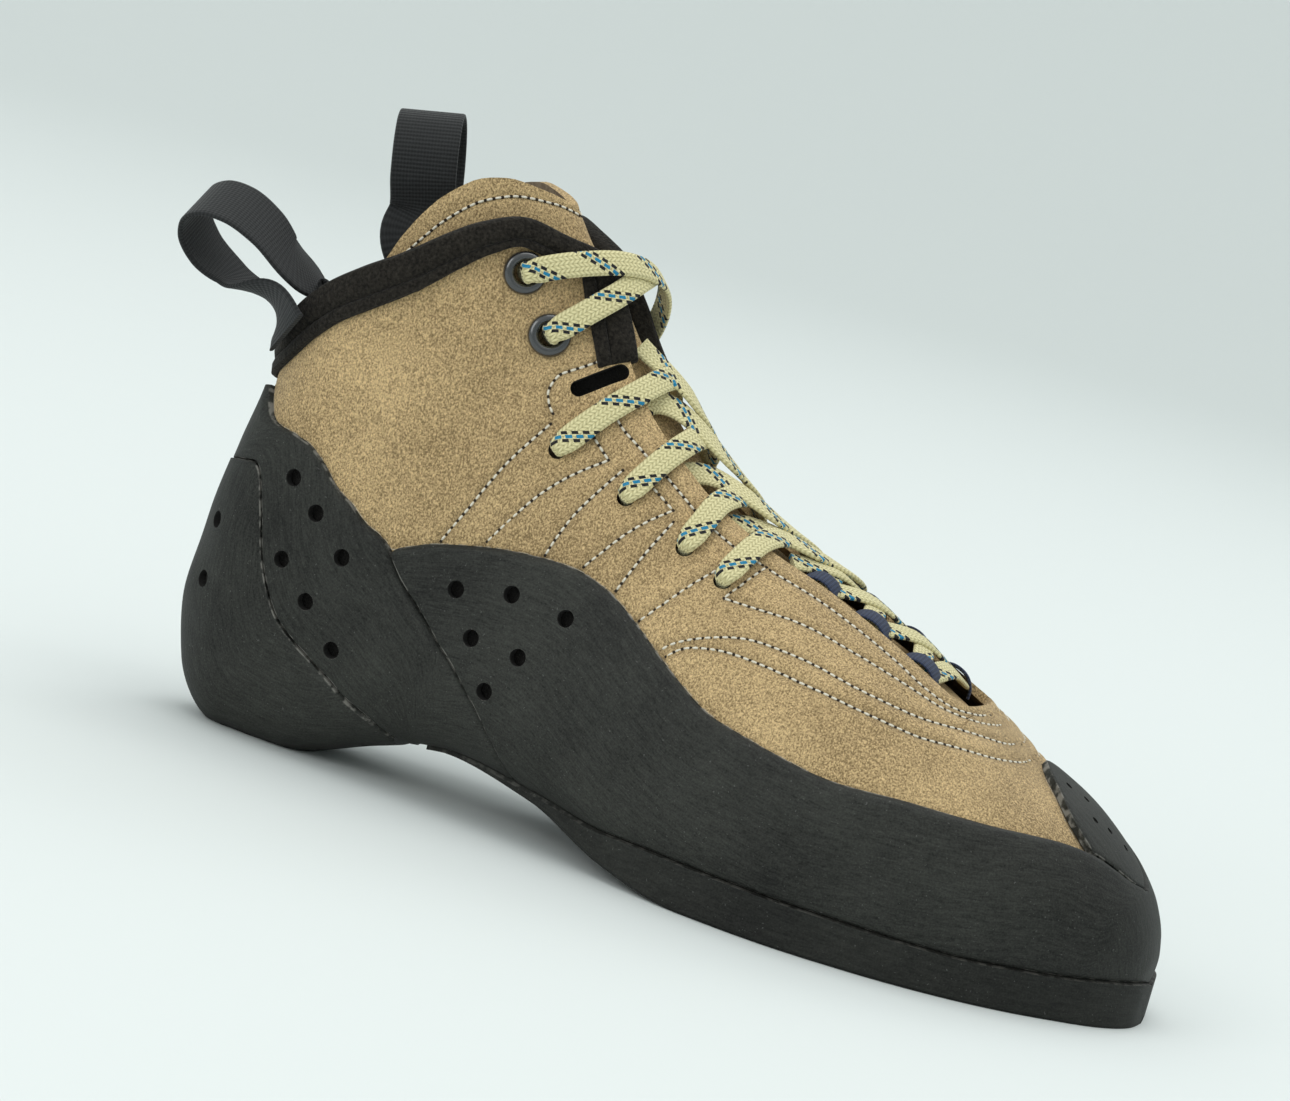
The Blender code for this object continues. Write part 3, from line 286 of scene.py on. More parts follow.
# %% Camera
TURN, RISE, ROLLED = (math.radians(v) for v in (15.0, 9.0, 15.6))
back_axis = np.array((math.sin(TURN) * math.cos(RISE), -math.cos(TURN) * math.cos(RISE), math.sin(RISE)))
level = np.array((math.cos(TURN), math.sin(TURN), 0.0))
upright = np.cross(back_axis, level)
right = level * math.cos(ROLLED) + upright * math.sin(ROLLED)
up = upright * math.cos(ROLLED) - level * math.sin(ROLLED)
stand = np.array((100.0, 0.0, 50.6)) * MM + back_axis
sight = -back_axis + right * (645 - 671) / 4150 - up * (550.5 - 652) / 4150
sight /= np.linalg.norm(sight)
up -= sight * (up @ sight)
up /= np.linalg.norm(up)
lens = bpy.data.cameras.new("camera")
lens.sensor_width = 36.0
lens.lens = 4150 / 1290 * 36.0
lens.clip_start, lens.clip_end = .01, 50.0
camera = bpy.data.objects.new("camera", lens)
camera.matrix_world = Matrix([[*row, place] for row, place in zip(
    np.stack([np.cross(sight, up), up, -sight], 1).tolist(), stand.tolist())] + [[0, 0, 0, 1]])
bpy.context.scene.collection.objects.link(camera)
bpy.context.scene.camera = camera
print("camera stands", (stand * 1000).round(), "mm, lens", round(lens.lens, 1))

# %% [markdown]
# Materials are node trees, and a tree drawn by hand is hard to read back as text. Two small
# classes let us write it as sums instead: a Shade adds nodes to one material, and a Socket is an
# output that knows plus, minus, times and divided by, so 1 - mask is one Math node.

# %% Materials as sums
class Shade:
    """A material's node tree: node() adds one node, and finish() fills the shader's sockets."""

    def __init__(self, name, **constants):
        self.made = bpy.data.materials.new(name)
        self.made.use_nodes = True
        self.tree = self.made.node_tree
        self.shader = self.tree.nodes["Principled BSDF"]
        self.fill(self.shader, {key.replace("_", " "): value for key, value in constants.items()})

    def fill(self, node, values):
        for key, value in values.items():
            if isinstance(value, Socket):
                self.tree.links.new(value.end, node.inputs[key])
            else:
                node.inputs[key].default_value = value

    def node(self, kind, settings=None, values=None, output=0):
        added = self.tree.nodes.new(kind)
        for key, value in (settings or {}).items():
            setattr(added, key, value)
        self.fill(added, values or {})
        return Socket(self, added.outputs[output])

    def place(self):
        return self.node("ShaderNodeTexCoord", output="Object")

    def surface(self):
        return self.node("ShaderNodeUVMap", {"uv_map": "surface"})

    def field(self, label):
        return self.node("ShaderNodeAttribute", {"attribute_name": label}, output="Fac")

    def parts(self, vector):
        split = self.node("ShaderNodeSeparateXYZ", None, {0: vector})
        return split, Socket(self, split.end.node.outputs[1])

    def noise(self, vector, scale, detail=2.0, rough=.5):
        values = {"Vector": vector, "Scale": scale, "Detail": detail, "Roughness": rough}
        return self.node("ShaderNodeTexNoise", None, values)

    def stretched(self, vector, scale):
        return self.node("ShaderNodeMapping", None, {"Vector": vector, "Scale": scale})

    def mix(self, factor, first, second):
        first, second = ((*c, 1.0) if isinstance(c, tuple) and len(c) == 3 else c for c in (first, second))
        return self.node("ShaderNodeMix", {"data_type": "RGBA", "clamp_factor": True},
                         {0: factor, 6: first, 7: second}, 2)

    def bump(self, height, strength, distance):
        values = {"Height": height, "Strength": strength, "Distance": distance}
        return self.node("ShaderNodeBump", None, values)

    def finish(self, **links):
        self.fill(self.shader, {key.replace("_", " "): value for key, value in links.items()})
        return self.made


class Socket:
    """One output of a node; arithmetic on it adds Math nodes, also with the number first."""

    def __init__(self, shade, end):
        self.shade, self.end = shade, end

    def math(self, operation, *others, first=None):
        values = ([first] if first is not None else []) + [self] + list(others)
        return self.shade.node("ShaderNodeMath", {"operation": operation}, dict(enumerate(values)))

    def __add__(self, other):
        return self.math("ADD", other)

    def __sub__(self, other):
        return self.math("SUBTRACT", other)

    def __mul__(self, other):
        return self.math("MULTIPLY", other)

    def __truediv__(self, other):
        return self.math("DIVIDE", other)

    def __rsub__(self, other):
        return self.math("SUBTRACT", first=other)

    __radd__, __rmul__ = __add__, __mul__

    def rise(self, low, high):
        """0 below low, 1 above high, a smooth step between."""
        return self.shade.node("ShaderNodeMapRange", {"interpolation_type": "SMOOTHSTEP"},
                               {0: self, 1: low, 2: high, 3: 0.0, 4: 1.0})

    def less(self, limit):
        return self.math("LESS_THAN", limit)

    def size(self):
        return self.math("ABSOLUTE")

    def cycle(self, length):
        """Remainder after whole lengths, from 0 to the length."""
        return self.math("FLOORED_MODULO", length)


print("shader helpers", [name for name in vars(Socket) if not name.startswith("__")])

# %% [markdown]
# Product photographers stand a shoe in a cove: a pale floor that sweeps up into the backdrop, so
# that no line crosses the picture. A flat plane would show its horizon tilted behind this rolled
# camera. A bowl, turned round the shoe, gives every view the same seamless ground.

# %% Floor
ground = Shade("studio_floor", Roughness=.9, Specular_IOR_Level=.1).finish(Base_Color=(.715, .75, .742, 1.0))
turns, reach = np.meshgrid(np.linspace(0, 2 * np.pi, 97), np.linspace(0, 1, 60) ** 1.5 * 5200, indexing="ij")
bowl_rise = np.clip(reach - 2200, 0, None) ** 2 / 3600
bowl = np.stack([reach * np.cos(turns) + 100, reach * np.sin(turns), bowl_rise], -1)
corner = (np.arange(96)[:, None] * 60 + np.arange(59)).ravel()
bowl_mesh = bpy.data.meshes.new("studio_floor")
bowl_mesh.from_pydata((bowl.reshape(-1, 3) * MM).tolist(), [],
                      np.stack([corner, corner + 1, corner + 61, corner + 60], 1)[:, ::-1].tolist())
bowl_mesh.shade_smooth()
bowl_mesh.materials.append(ground)
floor = bpy.data.objects.new("studio_floor", bowl_mesh)
bpy.context.scene.collection.objects.link(floor)
print("floor", len(bowl_mesh.polygons), "faces, rising beyond 2.2 m")

# %% [markdown]
# The picture's light is soft and comes from nearly everywhere, with a slightly brighter sky above.
# So the world does most of the work, and three large area lights give the faint shadow under the
# arch, the sheen on the shoe's flank and a thin edge along the laces.

# %% Light
def softbox(name, place, aim, size, watts, colour=(1, 1, 1)):
    light = bpy.data.lights.new(name, "AREA")
    light.shape, light.size, light.energy, light.color = "SQUARE", size, watts, colour
    lamp = bpy.data.objects.new(name, light)
    lamp.location = place
    lamp.rotation_euler = (Vector(aim) - Vector(place)).to_track_quat("-Z", "Y").to_euler()
    bpy.context.scene.collection.objects.link(lamp)


OVERHEAD, FRONT, BACK = 15, 8, 3
softbox("overhead", (.15, -.1, 2.2), (.1, 0, .05), 1.6, OVERHEAD)
softbox("left_front", (-.9, -1.5, .9), (.1, 0, .06), 1.0, FRONT)
softbox("back", (.45, 1.3, 1.3), (.1, 0, .05), .8, BACK, (.97, .99, 1))
world = bpy.data.worlds.new("studio")
world.use_nodes = True
world.node_tree.nodes["Background"].inputs["Color"].default_value = (.885, .935, .925, 1.0)
world.node_tree.nodes["Background"].inputs["Strength"].default_value = .94
bpy.context.scene.world = world
bpy.context.scene.view_settings.view_transform = "Standard"
print("three soft lights,", OVERHEAD + FRONT + BACK, "watts in all")

# %% [markdown]
# Suede is leather with its fibres raised: no gloss at all, and a colour that changes from fleck
# to fleck because each tuft leans its own way. Two sizes of noise on object coordinates make the
# tufts, a third one the soft clouds of handling. Hair particles could do it too, but the export
# would lose them, and at this distance colour and bump read the same.

# %% Suede, its lining and the footbed
shade = Shade("suede", Roughness=.93, Specular_IOR_Level=.18, Sheen_Weight=.12, Sheen_Roughness=.5)
where = shade.place()
tuft = shade.noise(shade.stretched(where, (1, 1, .75)), 2300, 2.0, .6)
fleck = shade.noise(where, 3900, 1.0)
cloud = shade.noise(where, 34, 4.0)
tone = .52 + (tuft - .5) * 3.0 + (fleck - .5) * 1.5 + (cloud - .5) * 1.0
colour = shade.mix(tone, (.215, .146, .068), (.74, .53, .275))
colour = shade.mix(fleck.rise(.58, .68) * .7, colour, (.11, .070, .034))
# Painted shade: the suede is darker along the stitch rows, in their troughs.
colour = shade.mix(shade.field("groove") * .5, colour, (.15, .105, .052))
cover = shade.field("cover")
glue = cover.rise(-.3, 0.0) * (1 - cover.rise(.10, .42)) * shade.noise(where, 520, 3.0).rise(.40, .62)
colour = shade.mix(glue * .6, colour, (.62, .57, .47))
# Painted shade: near black where the suede lies under the rubber, which shows in the vents, and on the
# tongue behind the lace slots.
colour = shade.mix(1 - cover.rise(-1.2, -.4), colour, (.012, .011, .010))
nap = tuft * .7 + fleck * .3
suede = shade.finish(Base_Color=colour, Normal=shade.bump(nap, .8, .0006))

shade = Shade("lining", Roughness=.9, Specular_IOR_Level=.2)
tone = shade.noise(shade.place(), 900, 2.0)
colour = shade.mix(tone.rise(.35, .65), (.17, .125, .085), (.25, .19, .13))
lining = shade.finish(Base_Color=colour, Normal=shade.bump(tone, .3, .0004))

shade = Shade("footbed", Roughness=.88, Specular_IOR_Level=.2)
tone = shade.noise(shade.place(), 700, 2.0)
colour = shade.mix(tone.rise(.3, .7), (.21, .165, .115), (.30, .245, .175))
footbed = shade.finish(Base_Color=colour, Normal=shade.bump(tone, .25, .0004))
print("leather finishes:", suede.name, lining.name, footbed.name)

# %% [markdown]
# Rand rubber is glued on and then ground to shape, so its black has short scratches along each
# strip, a fine grain, and greyer clouds where the wheel dwelt. The scratches are noise stretched
# on the strip's own UV map, which measures metres along and across it. The line of cement that is
# squeezed out at each edge follows an attribute that holds the distance from the edge.

# %% Rubber
def rubber(name, dark, pale, polish, cement):
    shade = Shade(name, Specular_IOR_Level=.2)
    where, surface = shade.place(), shade.surface()
    broad = shade.noise(shade.stretched(surface, (130, 900, 1)), 1.0, 3.0, .6)
    fine = shade.noise(shade.stretched(surface, (420, 2400, 1)), 1.0, 2.0, .6)
    grain = shade.noise(where, 2100, 2.0, .6)
    cloud = shade.noise(where, 24, 4.0, .6)
    tone = .42 + (broad - .5) * .8 + (fine - .5) * .9 + (grain - .5) * 1.1 + (cloud - .5) * 1.3
    colour = shade.mix(tone, (dark, dark, dark * .9), (pale, pale * 1.03, pale * .9))
    dust = shade.noise(where, 1700, 1.0).rise(.72, .77) * .4
    colour = shade.mix(dust, colour, (.16, .155, .15))
    edge = shade.field("edge")
    line = (1 - edge.rise(.06, .38)) * shade.noise(where, 430, 3.0).rise(.42, .62)
    colour = shade.mix(line * cement, colour, (.42, .40, .36))
    rough = polish + (fine - .5) * .35 + (cloud - .5) * .3
    height = broad * .35 + fine * .35 + grain * .3
    return shade.finish(Base_Color=colour, Roughness=rough, Normal=shade.bump(height, .35, .0004))


rand_rubber = rubber("rand_rubber", .007, .052, .62, .42)
sole_rubber = rubber("sole_rubber", .006, .036, .64, .12)
print("each rubber has", len(rand_rubber.node_tree.nodes), "nodes")

# %% [markdown]
# The trim is cloth. The collar's binding is brushed and dull, the pull loops are woven tape with
# cross ribs, the small lace loops are navy webbing. Cloth needs its pattern to follow the piece,
# so ribs are sine waves on the UV map: one along the tape, one across it.

# %% Binding, tape, webbing, thread and eyelets
def woven(name, dark, pale, pitch, strength):
    shade = Shade(name, Roughness=.8, Specular_IOR_Level=.3, Sheen_Weight=.1)
    u, v = shade.parts(shade.surface())
    ribs = (u * (2 * math.pi / pitch)).math("SINE") * .5 + .5
    wales = (v * (2 * math.pi / (pitch * .8))).math("SINE") * .5 + .5
    weave = ribs * .65 + wales * .35
    grain = shade.noise(shade.place(), 2200, 1.0)
    # Painted shade: the colour is darker where the ribs are low; the grain part is random tone.
    colour = shade.mix(weave * .7 + grain * .3, dark, pale)
    return shade.finish(Base_Color=colour, Normal=shade.bump(weave, strength, .0003))


loop_tape = woven("loop_tape", (.006, .0065, .007), (.026, .027, .028), .0010, .5)
loop_webbing = woven("loop_webbing", (.008, .012, .030), (.035, .05, .10), .0009, .6)

shade = Shade("binding_cloth", Roughness=.95, Specular_IOR_Level=.1, Sheen_Weight=.06)
where = shade.place()
fluff = shade.noise(where, 1300, 3.0, .65)
colour = shade.mix((fluff - .35) * 2.2, (.007, .006, .005), (.042, .036, .029))
binding_cloth = shade.finish(Base_Color=colour, Normal=shade.bump(fluff, .8, .0006))

shade = Shade("thread", Roughness=.7, Specular_IOR_Level=.3)
twist = shade.noise(shade.place(), 2600, 1.0)
thread = shade.finish(Base_Color=shade.mix(twist, (.55, .50, .39), (.86, .82, .72)))
# Painted shade: the near-black beads at the stitch ends stand for the shade in the needle holes.
needle_hole_shade = Shade("needle_hole_shade", Roughness=1.0).finish(Base_Color=(.022, .015, .010, 1.0))
dark_thread = Shade("dark_thread", Roughness=.8).finish(Base_Color=(.022, .018, .016, 1.0))
eyelet_metal = Shade("eyelet_metal", Roughness=.22, Metallic=.0, Coat_Weight=1.0, Coat_Roughness=.08,
                     Specular_IOR_Level=.6).finish(Base_Color=(.013, .014, .016, 1.0))
# Painted shade: near black for the walls of every cut hole; the Boolean cuts pass it on.
hole_wall_shade = Shade("hole_wall_shade", Roughness=1.0).finish(Base_Color=(.01, .009, .008, 1.0))
print("nodes in the tape:", len(loop_tape.node_tree.nodes), "and the binding:",
      len(binding_cloth.node_tree.nodes))

# %% [markdown]
# The lace is a flat braid. Its yarns cross in a herringbone, and three tracer yarns, black, blue
# and black, wander from one edge to the other and come up again every fifteen millimetres. All of
# it is arithmetic on the UV map: folded bands for the herringbone, and for the tracers the
# distance from a slanted line, cut into dashes along the lace.

# %% Lace
shade = Shade("lace_braid", Roughness=.78, Specular_IOR_Level=.25, Sheen_Weight=.12)
u, v = shade.parts(shade.surface())
u, v = u * 1000, v * 1000
column = (v + 40).cycle(1.9) - .95
slant = (u * 1.0 + column.size() * .9).cycle(1.15) / 1.15
plait = 1 - (slant - .5).size() * 2
between = 1 - (column.size() - .475).size().rise(.2, .475)
height = plait.rise(.0, .7) * .6 + between * .4
drift = (u + 13.0).cycle(15.0) - 7.5
off = v - drift * .74
dash = (u * 1.0 + off * .35).cycle(2.1) / 2.1
blue = off.size().less(.50) * dash.less(.64)
black = (off.size() - 1.18).size().less(.48) * ((dash + .35).cycle(1.0)).less(.6)
grain = shade.noise(shade.place(), 1900, 1.0)
# Painted shade: the cream is darker where the braid's height is low, in the hollows of the plait; the grain
# part is random tone.
shaded_cream = shade.mix(height * .7 + grain * .3, (.36, .31, .14), (.80, .73, .42))
colour = shade.mix(blue, shaded_cream, (.015, .21, .38))
colour = shade.mix(black, colour, (.012, .012, .014))
lace_braid = shade.finish(Base_Color=colour, Normal=shade.bump(height, .7, .0004))
print("materials ready")

# %% [markdown]
# Stitch rows tell how the upper was cut and sewn, and each one sinks the suede a little. A row is
# a few listed points, a station and a girth each, with a smooth curve between them on the
# last. We trace them first, because the suede's relief needs them as much as the thread does.

# %% Stitch rows
def spline(points, count):
    """Cubic through points, slopes from their neighbours, sampled evenly by chord length."""
    points = np.asarray(points, float)
    gaps = np.maximum(np.linalg.norm(np.diff(points, axis=0), axis=1), 1e-6)
    reach = np.concatenate([[0], np.cumsum(gaps)])
    slope = np.gradient(points, reach, axis=0)
    at = np.linspace(0, reach[-1], count)
    i = np.clip(np.searchsorted(reach, at, side="right") - 1, 0, len(reach) - 2)
    h = (reach[i + 1] - reach[i])[:, None]
    t = (at - reach[i])[:, None] / h
    return ((1 + 2 * t) * (1 - t) ** 2 * points[i] + t * (1 - t) ** 2 * h * slope[i]
            + t * t * (3 - 2 * t) * points[i + 1] + t * t * (t - 1) * h * slope[i + 1])


QUARTER_ROWS = (
    ((14.00, .359), (14.04, .325), (13.94, .291), (13.88, .262)),
    ((13.35, .378), (12.72, .376)), ((12.72, .376), (13.16, .334), (13.34, .280)),
    ((12.44, .380), (12.54, .331), (12.44, .290)),
    ((11.95, .391), (11.52, .394)), ((11.52, .394), (11.76, .357), (12.00, .304)),
    ((11.42, .388), (11.44, .354), (11.44, .305)),
    ((10.60, .389), (10.76, .360), (11.05, .305)),
    ((14.30, .412), (14.47, .397), (14.62, .386), (14.74, .376), (14.62, .367), (14.41, .364), (14.1, .363)))
THROAT_ROWS = (
    ((13.55, .409), (13.17, .400), (12.44, .402), (11.81, .408), (11.2, .412), (10.46, .419), (10.14, .425)),
    ((10.14, .425), (10.32, .374)),
    ((10.32, .374), (10.05, .382), (9.34, .399), (8.51, .409), (7.96, .415), (7.4, .425), (6.98, .445),
     (6.76, .475), (6.72, .5)),
    ((10.08, .425), (9.48, .432), (8.74, .434), (8.14, .432), (7.64, .430), (7.28, .437), (7.02, .455),
     (6.90, .48), (6.88, .5)))
VAMP_ROWS = (
    ((10.66, .300), (10.50, .321), (10.24, .339), (9.76, .360), (8.98, .374), (8.24, .381), (7.56, .395),
     (7.18, .411), (6.94, .425), (6.55, .46), (6.42, .5)),
    ((10.58, .296), (10.34, .325), (10.06, .337), (9.40, .350), (8.68, .358), (8.02, .366), (7.34, .380),
     (6.98, .395), (6.58, .42), (6.28, .458), (6.20, .5)))
INNER_SHIFT = 1.05


def trace(row, step=.5, shift=0.0, mirror=False):
    """Stations and girths along a row, in steps of about the given millimetres."""
    points = spline(np.array(row) * (1, 20) - (shift, 0), 400) / (1, 20)
    length = np.linalg.norm(np.diff(last(*points.T), axis=0), axis=1).sum()
    points = spline(points[::8] if len(row) > 2 else points[[0, -1]], max(4, int(length / step)) + 1)
    return np.stack([points[:, 0], 1 - points[:, 1] if mirror else points[:, 1]], 1)


rows = [(row, 0.0, False) for row in QUARTER_ROWS + THROAT_ROWS + VAMP_ROWS]
rows += [(row, INNER_SHIFT, True) for row in QUARTER_ROWS[:-1]]
rows += [(row, 0.0, True) for row in THROAT_ROWS[2:] + VAMP_ROWS]
traced = [trace(row, .5, shift, mirror) for row, shift, mirror in rows]
seams = last(*np.concatenate(traced).T)
print(len(rows), "stitch rows,", round(len(seams) * .5), "mm of thread")

# %% [markdown]
# The upper's skin carries three kinds of relief. The stitch rows sink it by a third of
# a millimetre and swell it beside them. A handful of soft troughs are the
# creases where a foot bends it and where the lace pulls. And it drops under the rubber, which is
# bonded over it. All three are added as depth before the surface is worked out, so nothing needs
# to be sculpted afterwards.

# %% Creases
CREASES = (
    ((14.9, .30), (15.6, .34), (16.2, .395), .55, 5.0), ((12.9, .33), (13.5, .385), (13.6, .42), .35, 4.0),
    ((11.9, .33), (12.3, .36), (12.2, .39), .30, 3.5), ((10.9, .34), (11.2, .37), (11.1, .40), .30, 3.5),
    ((9.0, .345), (9.6, .375), (10.2, .395), .35, 5.0), ((17.4, .22), (18.4, .25), (19.2, .30), .40, 6.0),
    ((7.0, .36), (7.4, .40), (7.3, .43), .30, 5.0), ((13.9, .68), (14.8, .65), (15.8, .61), .55, 5.0),
    ((8.6, .64), (9.2, .62), (9.8, .60), .35, 5.0), ((15.6, .27), (16.8, .285), (17.9, .335), -.45, 7.0),
    ((11.6, .68), (12.1, .655), (12.4, .62), .35, 4.0), ((5.6, .43), (6.0, .47), (6.0, .53), .25, 5.0))


def nearest(points, path):
    """Distance from each point to the nearest point of a path, from squares and dot products."""
    flat = points.reshape(-1, 3)
    gap = np.empty(len(flat))
    for some in np.array_split(np.arange(len(flat)), max(1, len(flat) // 2000)):
        square = (flat[some] ** 2).sum(1)[:, None] + (path ** 2).sum(1) - 2 * flat[some] @ path.T
        gap[some] = np.sqrt(np.maximum(square.min(1), 0))
    return gap.reshape(points.shape[:-1])


print(len(CREASES), "creases")

# %% [markdown]
# Where rubber lies over the suede, the suede has to be a little lower, and its edge shows dried
# cement; further under the rubber it is painted near black, as shade. All three need the distance
# to the rubber's edge, which is a difference of girths times the millimetres in one unit of girth.
# An image mask would do the same, but would need unwrapping.

# %% Relief of the suede
def cover_line(s):
    """Girth up to which rubber hides the suede."""
    line = np.where(s < 14.4, along(RAND_TOP, s), along(STRAP_TOP, s))
    return np.where(s > 19.8, 0.0, line)


def cover_distance(s, g):
    """Millimetres from the rubber's edge, negative under it; the smaller of rand and toe patch."""
    side = np.minimum(g, 1 - g)
    above_rand = (side - cover_line(s)) / girth_step(s, g, 1.0)
    past_patch = np.where(s < 6.1, (along(PATCH_LINE, s) - side) / girth_step(s, g, 1.0), 20.0)
    return np.where(s < 4.6, -5.0, np.minimum(above_rand, past_patch))


def suede_relief(s, g):
    """Depth under the rubber, minus stitch troughs and creases, each a bell of the distance."""
    side = np.minimum(g, 1 - g)
    under = np.clip((cover_line(s) - side) / .02 + .2, 0, 1) * (s < 20.1)
    depth = -SEAT * np.maximum(under, np.clip(6.1 - s, 0, 1))
    points = last(s, g)
    gap = nearest(points, seams)
    depth += -.42 * np.exp(-(gap / .8) ** 2) + .20 * np.exp(-((gap - 2.2) / 1.0) ** 2)
    for *path, deep, wide in CREASES:
        crease = last(*spline(path, 40).T)
        reach = nearest(points, crease)
        depth -= deep * np.exp(-(reach / wide) ** 2)
    return depth


print("relief at the toe, flank and ankle:",
      suede_relief(np.array((5.0, 12.0, 17.0)), np.array((.1, .33, .3))).round(2), "mm")

# %% [markdown]
# The collar's edge isn't a line of the grid, so the upper stations are stretched until the last
# one lies on it. Columns go where they show: few under the rubber, many over the bare suede.

# %% Rows and columns of the upper
def rim(g, mirror):
    """Station of the collar's edge at a girth; the inner side is a little higher."""
    return along(COLLAR, np.minimum(g, .449)) + (.25 if mirror else 0.0) * np.minimum(g / .1, 1)


def pull_to_rim(s, g, mirror):
    """Stations past 12 are stretched so that the last one lies on the collar's edge."""
    return np.where(s < 12, s, 12 + (s - 12) / 9.0 * (rim(g, mirror) - 12))


def upper_girths(s, mirror):
    """A few columns under the rubber, the rest over the visible suede."""
    low, top = along(UNDERSIDE, s[:, :1]), along(THROAT, s[:, -1:])
    middle = np.clip(cover_line(s[:, :1]) - .012, low + .012, top - .02)
    hidden, shown = np.linspace(0, 1, 8), np.linspace(0, 1, 60)[1:]
    return np.concatenate([low + (middle - low) * hidden, middle + (top - middle) * shown], 1)


def upper_fields(s, g, mirror):
    # The second field is painted shade along the stitch rows. The first, the distance from the rubber's
    # edge, also carries the painted shade under the rubber.
    groove = np.exp(-(nearest(last(s, 1 - g if mirror else g), seams) / .9) ** 2)
    return {"cover": cover_distance(s, g), "groove": groove}


print("collar from", rim(0.0, False).round(1), "at the back to", rim(.449, False).round(1), "at the throat")

# %% [markdown]
# A shoemaker marks the holes with an awl before punching them, so their places come as one list:
# eyelets, punched lace holes, the two slots, and the vents in the rubber. The holes are real ones.
# They could be drawn as dark spots, but a lace has to go in and come out, so a Boolean modifier
# cuts them, with one cutter for each kind. Their walls take the cutter's near-black finish, painted shade.

# %% Holes
EYELETS = {"eyelet_outer_1": (18.26, .366), "eyelet_outer_2": (15.86, .379),
           "eyelet_inner_1": (17.5, .634), "eyelet_inner_2": (14.7, .621)}
PUNCHES = ((13.52, .354), (12.12, .369), (11.10, .381), (10.46, .384),
           (12.3, .646), (11.15, .631), (10.1, .619), (9.45, .616))
SLOTS = (((14.2, .381), (13.75, .425)), ((13.0, .619), (12.55, .575)))
RAND_VENTS = ((13.14, .259), (12.44, .274), (11.68, .283), (12.52, .242), (11.88, .247), (11.98, .210))
STRAP_VENTS = ((17.14, .190), (16.14, .212), (15.0, .225), (15.86, .186), (14.88, .193), (13.98, .181))
PATCH_PITS = ((5.30, .504), (4.68, .497), (4.95, .478), (4.30, .512), (5.62, .492))
CUP_VENTS = ((17.58, .099), (16.72, .098))


def pins(name, places, radius, low, high, half_length=0.0, sides=24):
    """Cutter: closed prisms square to the surface, their ring a circle or a long round slot."""
    turn = 2 * np.pi * np.arange(sides) / sides
    points, triangles = [], []
    for number, place in enumerate(places):
        ends = np.reshape(place, (-1, 2))
        s, g = ends.mean(axis=0)
        centre, axis = last(s, g), outward(s, g)
        first = last(*ends[1]) - last(*ends[0]) if len(ends) > 1 else np.cross(axis, (0.0, 0.0, 1.0))
        first = first - axis * (first @ axis)
        first /= np.linalg.norm(first)
        second = np.cross(axis, first)
        shift = max(half_length - radius, 0) * np.sign(np.cos(turn))
        ring = (first * (radius * np.cos(turn) + shift)[:, None] + second * (radius * np.sin(turn))[:, None])
        points += [centre + axis * low + ring, centre + axis * high + ring,
                   np.stack([centre + axis * low, centre + axis * high])]
        k, n, base = np.arange(sides), (np.arange(sides) + 1) % sides, number * (2 * sides + 2)
        mid, cap = np.full(sides, 2 * sides), np.full(sides, 2 * sides + 1)
        faces = np.concatenate([np.stack([k, n, sides + n], 1), np.stack([k, sides + n, sides + k], 1),
                                np.stack([n, k, mid], 1), np.stack([sides + k, sides + n, cap], 1)])
        triangles.append(base + faces)
    mesh = bpy.data.meshes.new(name)
    mesh.from_pydata((np.concatenate(points) * MM).tolist(), [], np.concatenate(triangles).tolist())
    mesh.materials.append(hole_wall_shade)
    cutter = bpy.data.objects.new(name, mesh)
    bpy.context.scene.collection.objects.link(cutter)
    return cutter


def cut(target, cutters):
    """Cuts the prisms out of the target and keeps the result as its mesh."""
    for cutter in cutters:
        hole = target.modifiers.new(cutter.name, "BOOLEAN")
        hole.operation, hole.solver, hole.object = "DIFFERENCE", "EXACT", cutter
        # The cut walls take the cutter's near-black finish, painted shade.
        hole.material_mode = "TRANSFER"
    graph = bpy.context.evaluated_depsgraph_get()
    done = bpy.data.meshes.new_from_object(target.evaluated_get(graph), depsgraph=graph)
    target.modifiers.clear()
    target.data = done
    done.name = target.name
    for cutter in cutters:
        bpy.data.objects.remove(cutter, do_unlink=True)
    print(target.name, "cut:", len(done.polygons), "faces")


def both(places):
    """The same places on the outer and the inner side."""
    return list(places) + [(s, 1 - g) for s, g in places]

# %% [markdown]
# Now the upper itself: suede outside, lining inside, open at the collar, the throat and
# underneath. It is one wall of the leather's own thickness. A Solidify modifier would give the
# same wall, but its lining would share the suede's finish.

# %% Upper
upper_stations = spans((0, 4.4, 14), (4.4, 6.95, 40), (6.95, 7.3, 12), (7.3, 13.0, 92), (13.0, 21.0, 96))
upper = shell("suede_upper", two_sides(upper_stations, upper_girths, suede_relief, -SUEDE, upper_fields,
                                       pull_to_rim), (suede, lining))
cut(upper, [pins("eyelet_holes", EYELETS.values(), 3.6, -5, 4), pins("lace_holes", PUNCHES, 2.2, -5, 4),
            pins("lace_slots", SLOTS, 2.0, -5, 4, 7.5)])
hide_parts("upper")

# %% [markdown]
# A stitch is a short bar of thread that dives into a needle hole at each end. One small rounded
# bar, copied along every row as one joined mesh, is light enough for a thousand of them, and a
# dark six-sided bead in each hole is the hole's painted shade. A dashed texture would be lighter
# still, but it has no thickness, and the low light on this shoe shows the difference.

